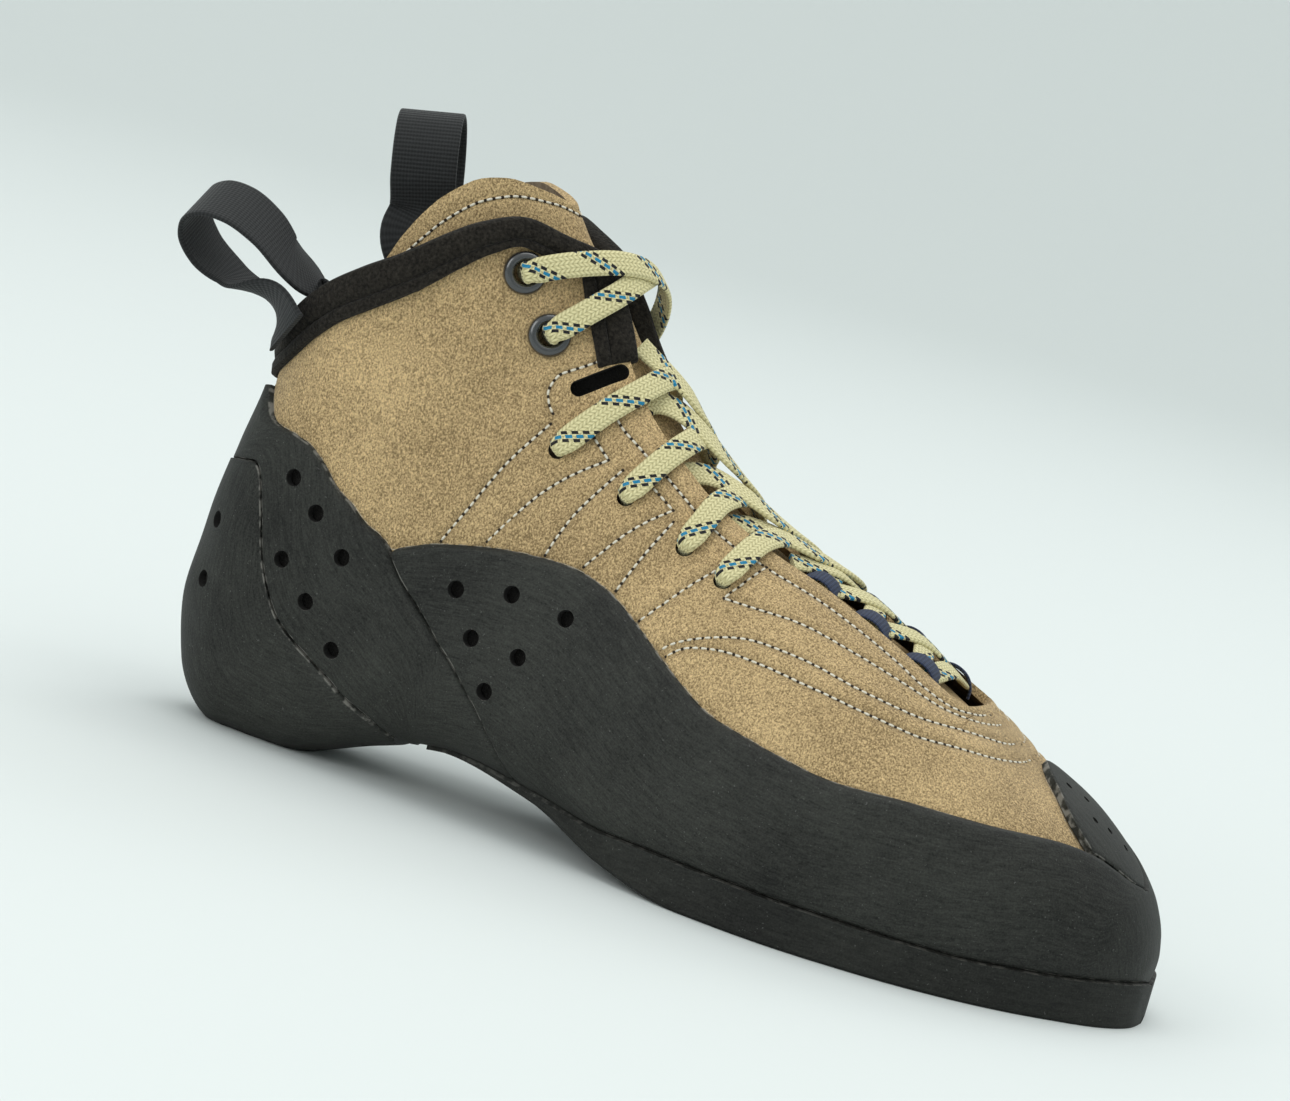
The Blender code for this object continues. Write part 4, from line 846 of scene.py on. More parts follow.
# %% One stitch and its copies
def bar(length, width, height, sides=6):
    """Ellipse rings along a bar, their size the root of one minus the square of the place."""
    a = np.array((-1, -.72, 0, .72, 1))[:, None]
    turn = 2 * np.pi * np.arange(sides) / sides
    r = np.sqrt(1 - a ** 4)
    points = np.stack([a * length / 2 + 0 * turn, r * np.cos(turn) * width / 2,
                       r * np.sin(turn) * height / 2 - .16 * a ** 2 * height + 0 * turn], -1)
    k, n = np.arange(sides), (np.arange(sides) + 1) % sides
    faces = [np.stack([i * sides + k, i * sides + n, (i + 1) * sides + n], 1) for i in range(4)]
    faces += [np.stack([i * sides + k, (i + 1) * sides + n, (i + 1) * sides + k], 1) for i in range(4)]
    return points.reshape(-1, 3), np.concatenate(faces)


def scatter(shape, centre, ahead, out):
    """Copies of a shape: its three coordinates along the way, across it and outward."""
    points, faces = shape
    ahead = ahead / np.linalg.norm(ahead, axis=1, keepdims=True)
    across = np.cross(out, ahead)
    across /= np.linalg.norm(across, axis=1, keepdims=True)
    axes = np.stack([ahead, across, np.cross(ahead, across)], 1)
    placed = centre[:, None] + np.einsum("pk,nkc->npc", points, axes)
    moved = faces[None] + (np.arange(len(centre)) * len(points))[:, None, None]
    return placed.reshape(-1, 3), moved.reshape(-1, 3)


def join_parts(parts):
    """One point list and one face list from several, with the face numbers moved on."""
    starts = np.cumsum([0] + [len(points) for points, _ in parts[:-1]])
    return (np.concatenate([points for points, _ in parts]),
            np.concatenate([faces + start for (_, faces), start in zip(parts, starts)]))


print("a stitch has", len(bar(1.6, .66, .52)[1]), "triangles")

# %% [markdown]
# A sewing machine keeps its stitch length, so each row is divided into equal steps near the pitch
# and gets a bar in every step and a bead at every joint. The outward directions come along, so
# the thread lies on the leather wherever it turns.

# %% Stitches
def sewn(name, ways, pitch, finishes, length=.76, width=.66, height=.52, lift=.03):
    """Stitches along ways; each way is a list of points and outward directions every half mm."""
    bars, beads = [], []
    for points, out in ways:
        reach = np.concatenate([[0], np.cumsum(np.linalg.norm(np.diff(points, axis=0), axis=1))])
        count = max(2, int(reach[-1] / pitch))
        for target, shift in ((bars, .5), (beads, 0.0)):
            at = (np.arange(count + (shift == 0)) + shift) * reach[-1] / count
            centre = np.stack([np.interp(at, reach, points[:, k]) for k in range(3)], 1)
            normal = np.stack([np.interp(at, reach, out[:, k]) for k in range(3)], 1)
            tangent = np.stack([np.interp(at, reach, np.gradient(points[:, k])) for k in range(3)], 1)
            # The beads are the needle holes' painted shade.
            shape = bar(pitch * length, width, height) if shift else bar(.80, .80, .26)
            target.append(scatter(shape, centre + normal * lift, tangent, normal))
    bars, beads = join_parts(bars), join_parts(beads)
    points, faces = join_parts([bars, beads])
    index = np.repeat((0, 1), (len(bars[1]), len(beads[1])))
    return piece(name, points, faces, finishes, index=index, sharp=80)


ways = []
for way in traced:
    s, g = way.T
    shown = (cover_distance(s, g) > .9) & (np.minimum(g, 1 - g) < along(THROAT, s) - .004)
    if shown.sum() > 6:
        s, g = s[shown], g[shown]
        ways.append((layer(s, g, suede_relief(s, g) + .12), outward(s, g)))
sewn("stitches", ways, 2.05, (thread, needle_hole_shade))

# %% [markdown]
# The rubber jacket is five strips of sheet: a rand round the forefoot, a patch over the toe,
# a strap pulled round the heel, a cup over it, and the sole. A strip is skived, or shaved thin, at
# its upper edge so that it doesn't peel. So the depth of its face falls towards the edge, on
# a grid whose columns crowd there. A bevel modifier would give every edge the same width.

# %% Strips of rubber
def crowded(count):
    """Shares from 0 to 1, closer together at the ends: a blend of a line and a cosine."""
    t = np.linspace(0, 1, count)
    return .45 * t + .55 * (1 - np.cos(np.pi * t)) / 2


def strip_girths(low, high, count):
    """Columns between a lower and an upper edge, at crowded shares of the way."""
    share = crowded(count)

    def girths(s, mirror):
        return low(s[:, :1]) + (high(s[:, :1]) - low(s[:, :1])) * share
    return girths


def skived(full, low, high, thin=.9, reach=2.4, foot=1.1):
    """Depth of a strip's face: full, less a square of the nearness to its upper or lower edge."""
    def face(s, g):
        side = np.minimum(g, 1 - g)
        unit = girth_step(s, side, 1.0)
        top = np.where(high(s) > .4995, 50.0, (high(s) - side) / unit)
        base = np.where(low(s) < .0005, 50.0, (side - low(s)) / unit)
        near = np.clip(1 - top / reach, 0, 1) ** 2 * (full - thin)
        return full - near - np.clip(1 - base / foot, 0, 1) ** 2 * .35
    return face


def edge_field(low, high):
    """Distance in millimetres from the nearer of a strip's two edges."""
    def fields(s, g, mirror):
        unit = girth_step(s, g, 1.0)
        top = np.where(high(s) > .4995, 50.0, (high(s) - g) / unit)
        base = np.where(low(s) < .0005, 50.0, (g - low(s)) / unit)
        return {"edge": np.minimum(top, base)}
    return fields


def strip(name, stations, low, high, count, full, finish, slot, joined="top", **skive):
    """Both sides of a strip between two edge lines, closed into one wall."""
    sheets = two_sides(stations, strip_girths(low, high, count), skived(full, low, high, **skive), -.1,
                       edge_field(low, high), None, joined)
    return shell(name, sheets, (finish,), 50)


print("shares of the way across a strip:", crowded(7).round(2))

# %% [markdown]
# Each strip is told by two lines on the last, its lower and its upper edge. Neighbours share
# a line and stand a third of a millimetre apart on it, the width of the glue, so a strip's edge
# moves when its neighbour's does.

# %% Rand, toe patch and heel strap
def rand_low(s):
    """The sole's line, then the slanting seam with the strap, plus a hair."""
    line = np.where(s < SEAM[0][0], along(SOLE_LINE, s), along(SEAM, s))
    return line + girth_step(s, line, .12)


def rand_high(s):
    return np.maximum(along(RAND_TOP, s), rand_low(s) + .002)


def patch_low(s):
    """The rand's upper edge at the toe, then the patch's own line up to the ridge."""
    edge = np.where(s < PATCH_LINE[0][0], along(RAND_TOP, s), along(PATCH_LINE, s))
    return np.minimum(edge + np.where(s < PATCH_LINE[0][0], girth_step(s, edge, .35), 0.0), .5)


def top_line(s):
    return np.full_like(s, .5)


def strap_low(s):
    """The sole's line, then the edge of the heel cup, plus the gap."""
    line = np.where(s < CUP_EDGE[0][0], along(SOLE_LINE, s), along(CUP_EDGE, s))
    line = np.where(s < CUP_EDGE[-1][0], line, 0.0)
    return line + np.where(line > 0, girth_step(s, line, GAP), 0.0)


def strap_high(s):
    """The strap's upper line, less a hair where it meets the rand."""
    edge = along(STRAP_TOP, s)
    return np.maximum(edge - np.where(s < 14.4, girth_step(s, edge, .3), 0.0), strap_low(s) + .002)


rand = strip("rubber_rand", spans((0, 3.2, 40), (3.2, 5.0, 34), (5.0, 11.0, 120), (11.0, 14.36, 84)),
             rand_low, rand_high, 26, GAP + RUBBER, rand_rubber, "rand_rubber")
cut(rand, [pins("rand_vents", both(RAND_VENTS), 2.15, -.4, 6)])
patch = strip("rubber_toe_patch", spans((3.42, 6.1, 70)), patch_low, top_line, 22, GAP + PATCH_RUBBER,
              rand_rubber, "rand_rubber", thin=.8, reach=2.0)
strap_stations = spans((11.26, 12.7, 40), (12.7, 18.4, 110), (18.4, 18.9, 30), (18.9, 19.8, 24))
strap = strip("rubber_heel_strap", strap_stations, strap_low, strap_high, 26, GAP + RUBBER, rand_rubber,
              "rand_rubber", "back", thin=1.0, reach=2.0)
cut(strap, [pins("strap_vents", both(STRAP_VENTS), 2.15, -.4, 6)])
cut(patch, [pins("patch_pits", PATCH_PITS, .95, -.4, 5, 0.0, 9)])
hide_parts("rand")
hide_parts("toe_patch")
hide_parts("heel_strap")

# %% [markdown]
# The heel cup is thicker rubber, moulded rather than wrapped, with a pad underneath and shallow
# dents beside its holes. It follows the formula of its solid on a finer grid, so the flat spot
# that it stands on stays where it is. Each dent is a bell taken off the thickness.

# %% Heel cup
CUP_DENTS = ((17.2, .085, 1.0, 8.0), (16.2, .070, .8, 7.0), (15.4, .11, .6, 7.0))


def cup_high(s):
    """The cup's upper edge, less the gap to the strap."""
    edge = along(CUP_EDGE, s)
    return np.maximum(edge - girth_step(s, edge, GAP), 0.0)


def cup_face(s, g):
    """Thickness growing with how far the wall looks down, less a bell for each dent."""
    side = np.minimum(g, 1 - g)
    under = np.clip(-outward(s, g)[..., 2], 0, 1) ** 2 * np.clip((s - 12.75) / 1.2, 0, 1)
    depth = GAP + CUP_RUBBER + (HEEL_PAD - CUP_RUBBER) * under
    for dent_s, dent_g, deep, wide in CUP_DENTS:
        depth = depth - deep * np.exp(-((nearest(last(s, side), last(dent_s, dent_g)[None]) / wide) ** 2))
    near = np.clip(1 - (cup_high(s) - side) / girth_step(s, side, 1.0) / 1.6, 0, 1) ** 2
    return depth - .8 * near


cup_stations = spans((12.75, 13.1, 14), (13.1, 18.1, 110), (18.1, 18.77, 34))
sheets = two_sides(cup_stations, strip_girths(lambda s: 0 * s, cup_high, 30), cup_face, .1,
                   edge_field(lambda s: 0 * s, cup_high), None, "back")
for front, *_ in sheets:
    front[..., 2] = np.maximum(front[..., 2], 0.0)
cup = shell("rubber_heel_cup", sheets, (rand_rubber,), 50)
cut(cup, [pins("cup_vents", both(CUP_VENTS), 2.15, .2, 8)])
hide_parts("heel_cup")

# %% [markdown]
# The sole is a thick sheet whose side was sanded nearly flush with the rand, so its upper edge
# stands a little proud and its lower edge is bevelled. Its section changes from a thick slab at
# the toe to a thin tail in the arch, so we carry one closed ring of points along the foot.

# %% Outsole
def ring_faces(rows, columns):
    """Triangles of a closed tube of rings, with a fan from the first point of each end ring."""
    i, j = (k.ravel() for k in np.meshgrid(np.arange(rows - 1), np.arange(columns), indexing="ij"))
    n = (j + 1) % columns
    a, b, c, d = i * columns + j, (i + 1) * columns + j, (i + 1) * columns + n, i * columns + n
    faces = [np.stack([a, b, c], 1), np.stack([a, c, d], 1)]
    k, far = np.arange(1, columns - 1), (rows - 1) * columns
    faces += [np.stack([0 * k, k, k + 1], 1), np.stack([far + 0 * k, far + k + 1, far + k], 1)]
    return np.concatenate(faces)


def outsole_rings(stations):
    """Rings across the sole: edge, side, bevel, flat underside, and back over the last's shape."""
    edge = along(SOLE_LINE, stations)
    bottom = along(SECTIONS, stations, 2)
    floor_line = np.where(stations <= 9.0, 0.0, bottom - SOLE_HEIGHT * along(SOLE_TAPER, stations))
    rims = []
    for girth in (edge, 1 - edge):
        top = layer(stations, girth, GAP + RUBBER + SOLE_EDGE)
        side = top.copy()
        bevel = np.minimum(SOLE_BEVEL, 0.3 * (top[:, 2] - floor_line))
        side[:, 2] = floor_line + bevel
        rims.append((top, side, bevel))
    (top_out, side_out, bevel), (top_in, side_in, _) = rims
    across = top_in - top_out
    width = np.maximum(np.linalg.norm(across, axis=1, keepdims=True), 1e-6)
    step = across / width * np.minimum(bevel[:, None], 0.3 * width)
    foot_out, foot_in = side_out + step, side_in - step
    foot_out[:, 2] = foot_in[:, 2] = floor_line
    foot_out[0, 0] -= SOLE_BEVEL
    foot_in[0] = foot_out[0]
    lip_out, lip_in = (layer(stations, g, GAP + RUBBER + .1) for g in (edge, 1 - edge))
    loop = [top_out, .67 * top_out + .33 * side_out, .33 * top_out + .67 * side_out, side_out, foot_out]
    loop += [foot_out + (foot_in - foot_out) * t for t in (.1, .25, .4, .5, .6, .75, .9)]
    loop += [foot_in, side_in, .33 * top_in + .67 * side_in, .67 * top_in + .33 * side_in, top_in, lip_in]
    loop += [layer(stations, (-np.sign(t) * edge * abs(t) ** 2.2) % 1.0, .1) for t in np.linspace(1, -1, 25)]
    loop += [lip_out]
    return np.stack(loop, 1)


sole_stations = spans((0, 1.4, 30), (1.4, 9.0, 90), (9.0, 12.4, 60))
rings = outsole_rings(sole_stations)
rows_count, columns_count = rings.shape[:2]
flat_points = rings.reshape(-1, 3)
_, first, same = np.unique(np.round(flat_points, 3), axis=0, return_index=True, return_inverse=True)
faces = same.ravel()[ring_faces(rows_count, columns_count)]
whole = (faces[:, 0] != faces[:, 1]) & (faces[:, 1] != faces[:, 2]) & (faces[:, 2] != faces[:, 0])
loose_faces = ring_faces(rows_count, columns_count)[whole]
faces = faces[whole]
sole_uv = grid_uv(rings).reshape(-1, 2)
edge_mm = np.full(len(flat_points), 9.0).reshape(rows_count, columns_count)
edge_mm[:, [0, columns_count - 1, 16, 17]] = 0.0
outsole = piece("rubber_outsole", flat_points[first], faces, (sole_rubber,),
                sole_uv[loose_faces], {"edge": edge_mm.ravel()[first]}, None, 35)
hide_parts("outsole")

# %% [markdown]
# The tongue is one soft sheet of the same suede, wrapped round the front of the ankle and sewn
# along its edge. It is made as the upper was, between two edges, and it leans towards the ankle
# above the lace, where nothing holds it.

# %% Tongue
SLOT_SHADE = 5.0


def tongue_depth(s):
    """Depth under the flaps with room for the lace, and a lean towards the ankle above."""
    lean = np.clip((s - 15.0) / 6.0, 0, 1)
    under_lace = np.clip((s - 6.5) / 0.5, 0, 1)
    return -SUEDE - SEAT - (LACE_THICKNESS + 2 * GAP) * under_lace - 2.5 * lean * lean * (3 - 2 * lean)


def tongue_top(s, g, mirror):
    return np.where(s < 15, s, 15 + (s - 15) / 7.0 * (along(TONGUE_TOP, g) - 15))


def tongue_girths(s, mirror):
    low = along(TONGUE_SIDE, s[:, :1]) + (.03 * np.clip((s[:, :1] - 17) / 2, 0, 1) if mirror else 0)
    return low + (.5 - low) * crowded(34)


def tongue_row(mirror):
    """Stitch path three millimetres inside the tongue's side and top edge."""
    s = np.linspace(15.0, 21.45, 70)
    g = along(TONGUE_SIDE, s) + (.03 * np.clip((s - 17) / 2, 0, 1) if mirror else 0) + .017
    top_g = np.linspace(g[-1], .497, 60)[1:]
    s, g = np.concatenate([s, np.full(59, 21.45)]), np.concatenate([g, top_g])
    s = np.minimum(tongue_top(s, g, mirror), tongue_top(np.full_like(s, 21.45), g, mirror))
    return s, g


tongue_ways = []
for mirror in (False, True):
    s, g = tongue_row(mirror)
    g = 1 - g if mirror else g
    path, out = layer(s, g, tongue_depth(s)), outward(s, g)
    count = int(np.linalg.norm(np.diff(path, axis=0), axis=1).sum() / .5)
    tongue_ways.append((spline(path[::3], count), spline(out[::3], count)))
tongue_seam = np.concatenate([path for path, _ in tongue_ways])


def tongue_face(s, g):
    """The tongue's depth, less a bell of the distance from its stitch row."""
    depth = tongue_depth(s)
    return depth - .35 * np.exp(-(nearest(layer(s, g, depth), tongue_seam) / .8) ** 2)


def tongue_fields(s, g, mirror):
    """The tongue is dark where it lies behind a lace slot, which lets little light in."""
    points = last(s, 1 - g if mirror else g)
    slots = np.concatenate([last(*np.linspace(*slot, 12).T) for slot in SLOTS])
    return {"cover": np.where(nearest(points, slots) < SLOT_SHADE, -3.0, 20.0), "groove": 0 * g}


tongue = shell("suede_tongue", two_sides(spans((6.5, 15, 70), (15, 22, 76)), tongue_girths, tongue_face,
                                         lambda s, g: tongue_depth(s) - 2.0, tongue_fields, tongue_top),
               (suede, lining))
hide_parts("tongue")
sewn("tongue_stitches", [(path - out * .12, out) for path, out in tongue_ways], 2.1,
     (thread, needle_hole_shade))

# %% [markdown]
# Inside lies the footbed, a thin leather board on the bottom of the last. It is hardly seen, but
# a look into the shoe would miss it. Its columns crowd at the sides, where the board curls up.

# %% Footbed
foot_s = spans((1.8, 15.0, 110))[:, None] * np.ones(31)
side_share = np.linspace(-1, 1, 31)[None, :]
foot_g = np.sign(side_share) * along(INSOLE_SIDE, foot_s) * np.abs(side_share) ** 2.2
foot_top = layer(foot_s, foot_g, -SUEDE - 2 * SEAT - 2.0)
foot_under = layer(foot_s, foot_g, -SUEDE - 2 * SEAT)
insole = shell("footbed", [(foot_top, foot_under, grid_uv(foot_top), {})], (footbed,))
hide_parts("insole")

# %% [markdown]
# The collar's edge is folded into a strip of brushed cloth over a thin pad, with one stitched
# groove along it. It is a profile carried along the edge. The profile is given in two measures,
# how far into the material and how high over it, so it can be wide at the back and narrow at
# the throat. A curve with a bevel object could not change its profile in that way.

# %% Way of the binding
THROAT_BINDING = ((13.85, 7.4), (14.56, 7.4), (15.05, 7.4), (15.54, 7.2), (15.97, 6.9), (16.41, 6.3),
                  (16.9, 5.6))
RIM_BINDING = ((0, 8.6), (.20, 8.6), (.26, 7.6), (.30, 6.6), (.34, 5.4), (.37, 4.8), (.449, 4.8))
INNER_TAB_DROP = .8


def rim_path():
    """Station, girth and depth of the binding along the free edge, round the back."""
    girths = np.linspace(THROAT[-1][1], 0, 12)[1:]
    depths = along(RIM_BINDING, girths)
    throat = [(s, float(along(THROAT, s)), d) for s, d in THROAT_BINDING]
    path = list(throat)
    path += [(float(rim(g, False)), g, d) for g, d in zip(girths, depths)]
    path += [(float(rim(g, True)), 1 - g, d) for g, d in zip(girths[-2::-1], depths[-2::-1])]
    path += [(s - INNER_TAB_DROP * (s < 14), 1 - g, d) for s, g, d in throat[::-1]]
    return np.array(path)


def rim_frame(path):
    """Edge points, the way into the material, outward, and station and girth per millimetre."""
    s, g = path[:, 0], path[:, 1]
    on_edge, out = last(s, g), outward(s, g)
    wrapped = np.concatenate([on_edge[:1] * 2 - on_edge[1:2], on_edge,
                              on_edge[-1:] * 2 - on_edge[-2:-1]])
    into = np.cross(out, wrapped[2:] - wrapped[:-2])
    into /= np.linalg.norm(into, axis=1, keepdims=True)
    e = 1e-3
    grid = np.stack([last(s + e, g) - last(s - e, g), last(s, g + e) - last(s, g - e)], -1) / (2 * e)
    return on_edge, into, out, np.einsum("nij,nj->ni", np.linalg.pinv(grid), into)


corners = rim_path()
corners[len(THROAT_BINDING) + 11:, 1] -= 1.0
BINDING_STEPS = 300
arc_path = spline(corners * (1, 20, 1), BINDING_STEPS) / (1, 20, 1)
arc_path[:, 1] %= 1.0
on_edge, into, out, pace = rim_frame(arc_path)
binding_length = np.linalg.norm(np.diff(on_edge, axis=0), axis=1).sum()
print("the binding is", binding_length.round(), "mm long")

# %% [markdown]
# The binding's section is drawn once. Each point of it has a share of the binding's depth, some
# millimetres more, and a height over the suede. Together they make two soft rolls with the
# stitched groove between them, the fold over the edge, and the flat inside. Towards both ends
# the section flattens, like cloth that was cut and tacked down.

# %% Collar binding
face_at, inside = SEAT + 2 * GAP, -SUEDE - SEAT - 2 * GAP
PROFILE = ((1.0, 0, .2), (.98, 0, GAP + .6 * ROLL), (.88, 0, GAP + .95 * ROLL),
           (.74, 0, GAP + 1.0 * ROLL),
           (.64, 0, GAP + .80 * ROLL), (.60, 0, GAP + .42 * ROLL), (.56, 0, GAP + .80 * ROLL),
           (.45, 0, GAP + 1.02 * ROLL), (.25, 0, GAP + 1.15 * ROLL), (.05, 0, GAP + 1.0 * ROLL),
           (0, -1.2 - .35 * ROLL, GAP + .55 * ROLL), (0, -1.2 - .62 * ROLL, -.8),
           (0, -1.2 - .3 * ROLL, inside - .3 * ROLL), (.1, 0, inside - .7 * ROLL),
           (.5, 0, inside - .65 * ROLL), (.9, 0, inside - .5 * ROLL), (.92, 0, -SUEDE - .1),
           (.5, 0, -SUEDE - .1), (0, -.2, -SUEDE - .1), (0, -.2, .2), (.5, 0, .2))
profile = np.array(PROFILE + PROFILE[:1])
fine = np.concatenate([spline(profile[:16], 46)[:-1], profile[15:20]])
rings = []
fade = np.minimum(np.arange(BINDING_STEPS), np.arange(BINDING_STEPS)[::-1])
squeeze = np.sqrt(1 - np.clip(1 - fade / 5.0, 0, 1) ** 2) * .5 + .5
for share, more, height in fine:
    reach = share * arc_path[:, 2] + more
    mid = (face_at + inside) / 2
    rings.append(layer(arc_path[:, 0] + pace[:, 0] * reach, arc_path[:, 1] + pace[:, 1] * reach,
                       mid + (height - mid) * squeeze))
grid = np.stack(rings, 1)
uv = grid_uv(grid).reshape(-1, 2)
faces = ring_faces(*grid.shape[:2])
binding = piece("cloth_binding", grid.reshape(-1, 3), faces, (binding_cloth,),
                uv[faces], sharp=60)
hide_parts("collar_binding")
groove_reach = .60 * arc_path[:, 2]
groove_way = layer(arc_path[:, 0] + pace[:, 0] * groove_reach, arc_path[:, 1] + pace[:, 1] * groove_reach,
                   GAP + .48 * ROLL)[8:-8]
sewn("binding_stitches", [(groove_way, out[8:-8])], 2.4, (dark_thread, dark_thread),
     width=.5)

# %% [markdown]
# Two loops of woven tape help to pull the shoe on. Each leaves the collar outside, bows over and
# goes back in. The way is a smooth line through a few points set in the loop's own plane, and the
# tape's flat section turns with it. The loops are plain here, ribbed from edge to edge.

# %% Pull loops
LOOP_LENGTH, LOOP_WIDTH, TAPE_WIDTH, TAPE_THICKNESS = 33.0, 18.0, 16.5, 1.2
LOOP_WAY = ((.22, -.38), (.5, -.54), (.78, -.46), (.96, -.2), (1.0, .06), (.94, .3), (.76, .5), (.5, .52),
            (.22, .36))


def tape_section(width, thickness):
    """A flat section with half-round edges, as shares across and through the tape."""
    turn = np.linspace(-np.pi / 2, np.pi / 2, 5)
    flat = width / 2 - thickness / 2
    lines = np.array((-.9, -.6, -.3, 0, .3, .6, .9)) * flat
    across = np.concatenate([flat + np.cos(turn) * thickness / 2, lines[::-1],
                             -flat - np.cos(turn) * thickness / 2, lines])
    through = np.concatenate([np.sin(turn), np.ones(7), -np.sin(turn), -np.ones(7)]) * thickness / 2
    return across, through


def pull_loop(name, node, girth, mirror, axis, across, clearance, rise):
    """Tape along one smooth way: up outside the collar, round the bow, down inside.

    The bow's points are shares of its length and width, laid out on its axis and across it. The
    clearance is the room between the binding and the tape's middle, and the rise is how far the
    outer leg goes up before it bows out. With no rise it leans outward at once.
    """
    middle = 1 - girth if mirror else girth
    place = [(float(rim(min(g, 1 - g), mirror)), g) for g in (middle + .02, middle, middle - .02)]
    on_edge, into, out, _ = (part[1] for part in rim_frame(np.array(place)))
    outer_face = GAP + 1.1 * ROLL + clearance
    inner_face = -SUEDE - SEAT - .7 * ROLL - 4.6
    axis, across = (np.array(v, float) / np.linalg.norm(v) for v in (axis, across))
    base = on_edge - into * (GAP + 3.2 * ROLL) - out * SUEDE / 2
    way = [on_edge + into * 6.0 + out * outer_face, on_edge + into * 1.0 + out * outer_face]
    if rise:
        way.append(on_edge - into * rise + out * (outer_face + .8))
    bow = [base + axis * a * LOOP_LENGTH + across * b * LOOP_WIDTH for a, b in LOOP_WAY]
    bow = bow if (across @ out) < 0 else bow[::-1]
    way += bow if rise else bow[1:]
    way += [on_edge - into * 10.0 + out * (inner_face + .8), on_edge + into * 1.0 + out * inner_face,
            on_edge + into * 6.0 + out * inner_face]
    centre = spline(way, 140)
    ahead = np.gradient(centre, axis=0)
    ahead /= np.linalg.norm(ahead, axis=1, keepdims=True)
    collar_side, loop_side = np.cross(into, out), np.cross(axis, across)
    loop_side = -loop_side if collar_side @ loop_side < 0 else loop_side
    share = np.sin(np.linspace(0, np.pi, len(centre)))[:, None] ** .7
    side = collar_side * (1 - share) + loop_side * share
    side -= ahead * np.sum(side * ahead, axis=1, keepdims=True)
    side /= np.linalg.norm(side, axis=1, keepdims=True)
    flat = np.cross(ahead, side)
    a, b = tape_section(TAPE_WIDTH, TAPE_THICKNESS)
    grid = centre[:, None] + side[:, None] * a[None, :, None] + flat[:, None] * b[None, :, None]
    length = np.concatenate([[0], np.cumsum(np.linalg.norm(np.diff(centre, axis=0), axis=1))])
    uv = np.stack(np.broadcast_arrays(length[:, None], a[None, :]), -1).reshape(-1, 2) * MM
    faces = ring_faces(*grid.shape[:2])
    made = piece(name, grid.reshape(-1, 3), faces, (loop_tape,), uv[faces], sharp=60)
    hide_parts(node)
    print(name, "tape", round(float(length[-1])), "mm long")


pull_loop("tape_loop_outer", "pull_loop_outer", .115, False, (-.87, -.27, .42), (.48, -.45, .75), 3.9, 0)
pull_loop("tape_loop_inner", "pull_loop_inner", .19, True, (-.20, .08, .97), (.22, -.96, .12), 1.3, 5.6)

# %% [markdown]
# The lace is the busiest part of the picture. Each strand is one flat tube along its own way:
# up through a hole, where it bunches to the hole's width, over the flap, across the ridge and
# under the other flap. The width and thickness change along the way, and the section turns
# with it. The UV map runs in millimetres along the strand and across it, which is what the
# braid's pattern needs.

# %% Lace sizes and the flat tube
CROSSINGS = (
    ("lace_1", 10.46, .384, 10.40, 9.85, 9.45, .616, 9.30, 10.80),
    ("lace_2", 11.10, .381, 11.15, 10.75, 10.10, .619, 9.95, 11.65),
    ("lace_3", 12.12, .369, 12.05, 11.80, 11.15, .631, 10.95, 12.90),
    ("lace_4", 13.52, .354, 13.20, 12.75, 12.30, .646, 11.95, 14.00))
TOP_UNDER = ((15.86, .379, 3.1), (15.70, .41, 3.5), (15.60, .44, 3.9), (15.65, .47, 4.0), (15.8, .5, 4.0),
             (16.2, .545, 3.9), (16.8, .59, 3.8), (17.5, .634, 3.1))
TOP_OVER = ((18.26, .366, 3.1), (17.9, .39, 3.8), (17.3, .42, 4.5), (16.6, .455, 5.1), (15.9, .49, 5.3),
            (15.3, .52, 5.6), (14.85, .555, 5.0), (14.65, .59, 3.8), (14.7, .621, 3.1))
LOW_ROWS = ((7.85, 7.60), (8.65, 8.28), (9.45, 8.95))
PUNCHED_BORE, EYELET_BORE, EYELET_RIM = 3.3, 4.4, 1.4
LOW_WIDTH, LOW_THICKNESS, LOW_START = 5.8, 1.5, 7.0
lace_length = 0.0


def braid_tube(centre, out, width, thickness, start):
    """Flat tube: an ellipse section squared by a power, carried along the centre line."""
    ahead = np.gradient(centre, axis=0)
    ahead /= np.linalg.norm(ahead, axis=1, keepdims=True)
    side = np.cross(ahead, out)
    side /= np.linalg.norm(side, axis=1, keepdims=True)
    flat = np.cross(side, ahead)
    turn = 2 * np.pi * (np.arange(20) + .5) / 20
    a = np.sign(np.cos(turn)) * np.abs(np.cos(turn)) ** .62 / 2
    b = np.sign(np.sin(turn)) * np.abs(np.sin(turn)) ** .75 / 2
    grid = (centre[:, None] + side[:, None] * (width[:, None] * a)[..., None]
            + flat[:, None] * (thickness[:, None] * b)[..., None])
    length = np.concatenate([[0], np.cumsum(np.linalg.norm(np.diff(centre, axis=0), axis=1))]) + start
    uv = np.stack(np.broadcast_arrays(length[:, None], LACE_WIDTH * a[None, :]), -1).reshape(-1, 2) * MM
    return grid.reshape(-1, 3), ring_faces(*grid.shape[:2]), uv


print(len(CROSSINGS), "crossings and", len(LOW_ROWS), "rows of webbing loops")

# %% [markdown]
# A lace bunches up in its hole and lies flat again a few millimetres on. So each hole gives the
# strand five points, with a width, a thickness and the way the lace faces at each, and the rest of
# the way is a row of stations, girths and heights. One smooth line then runs through them all.

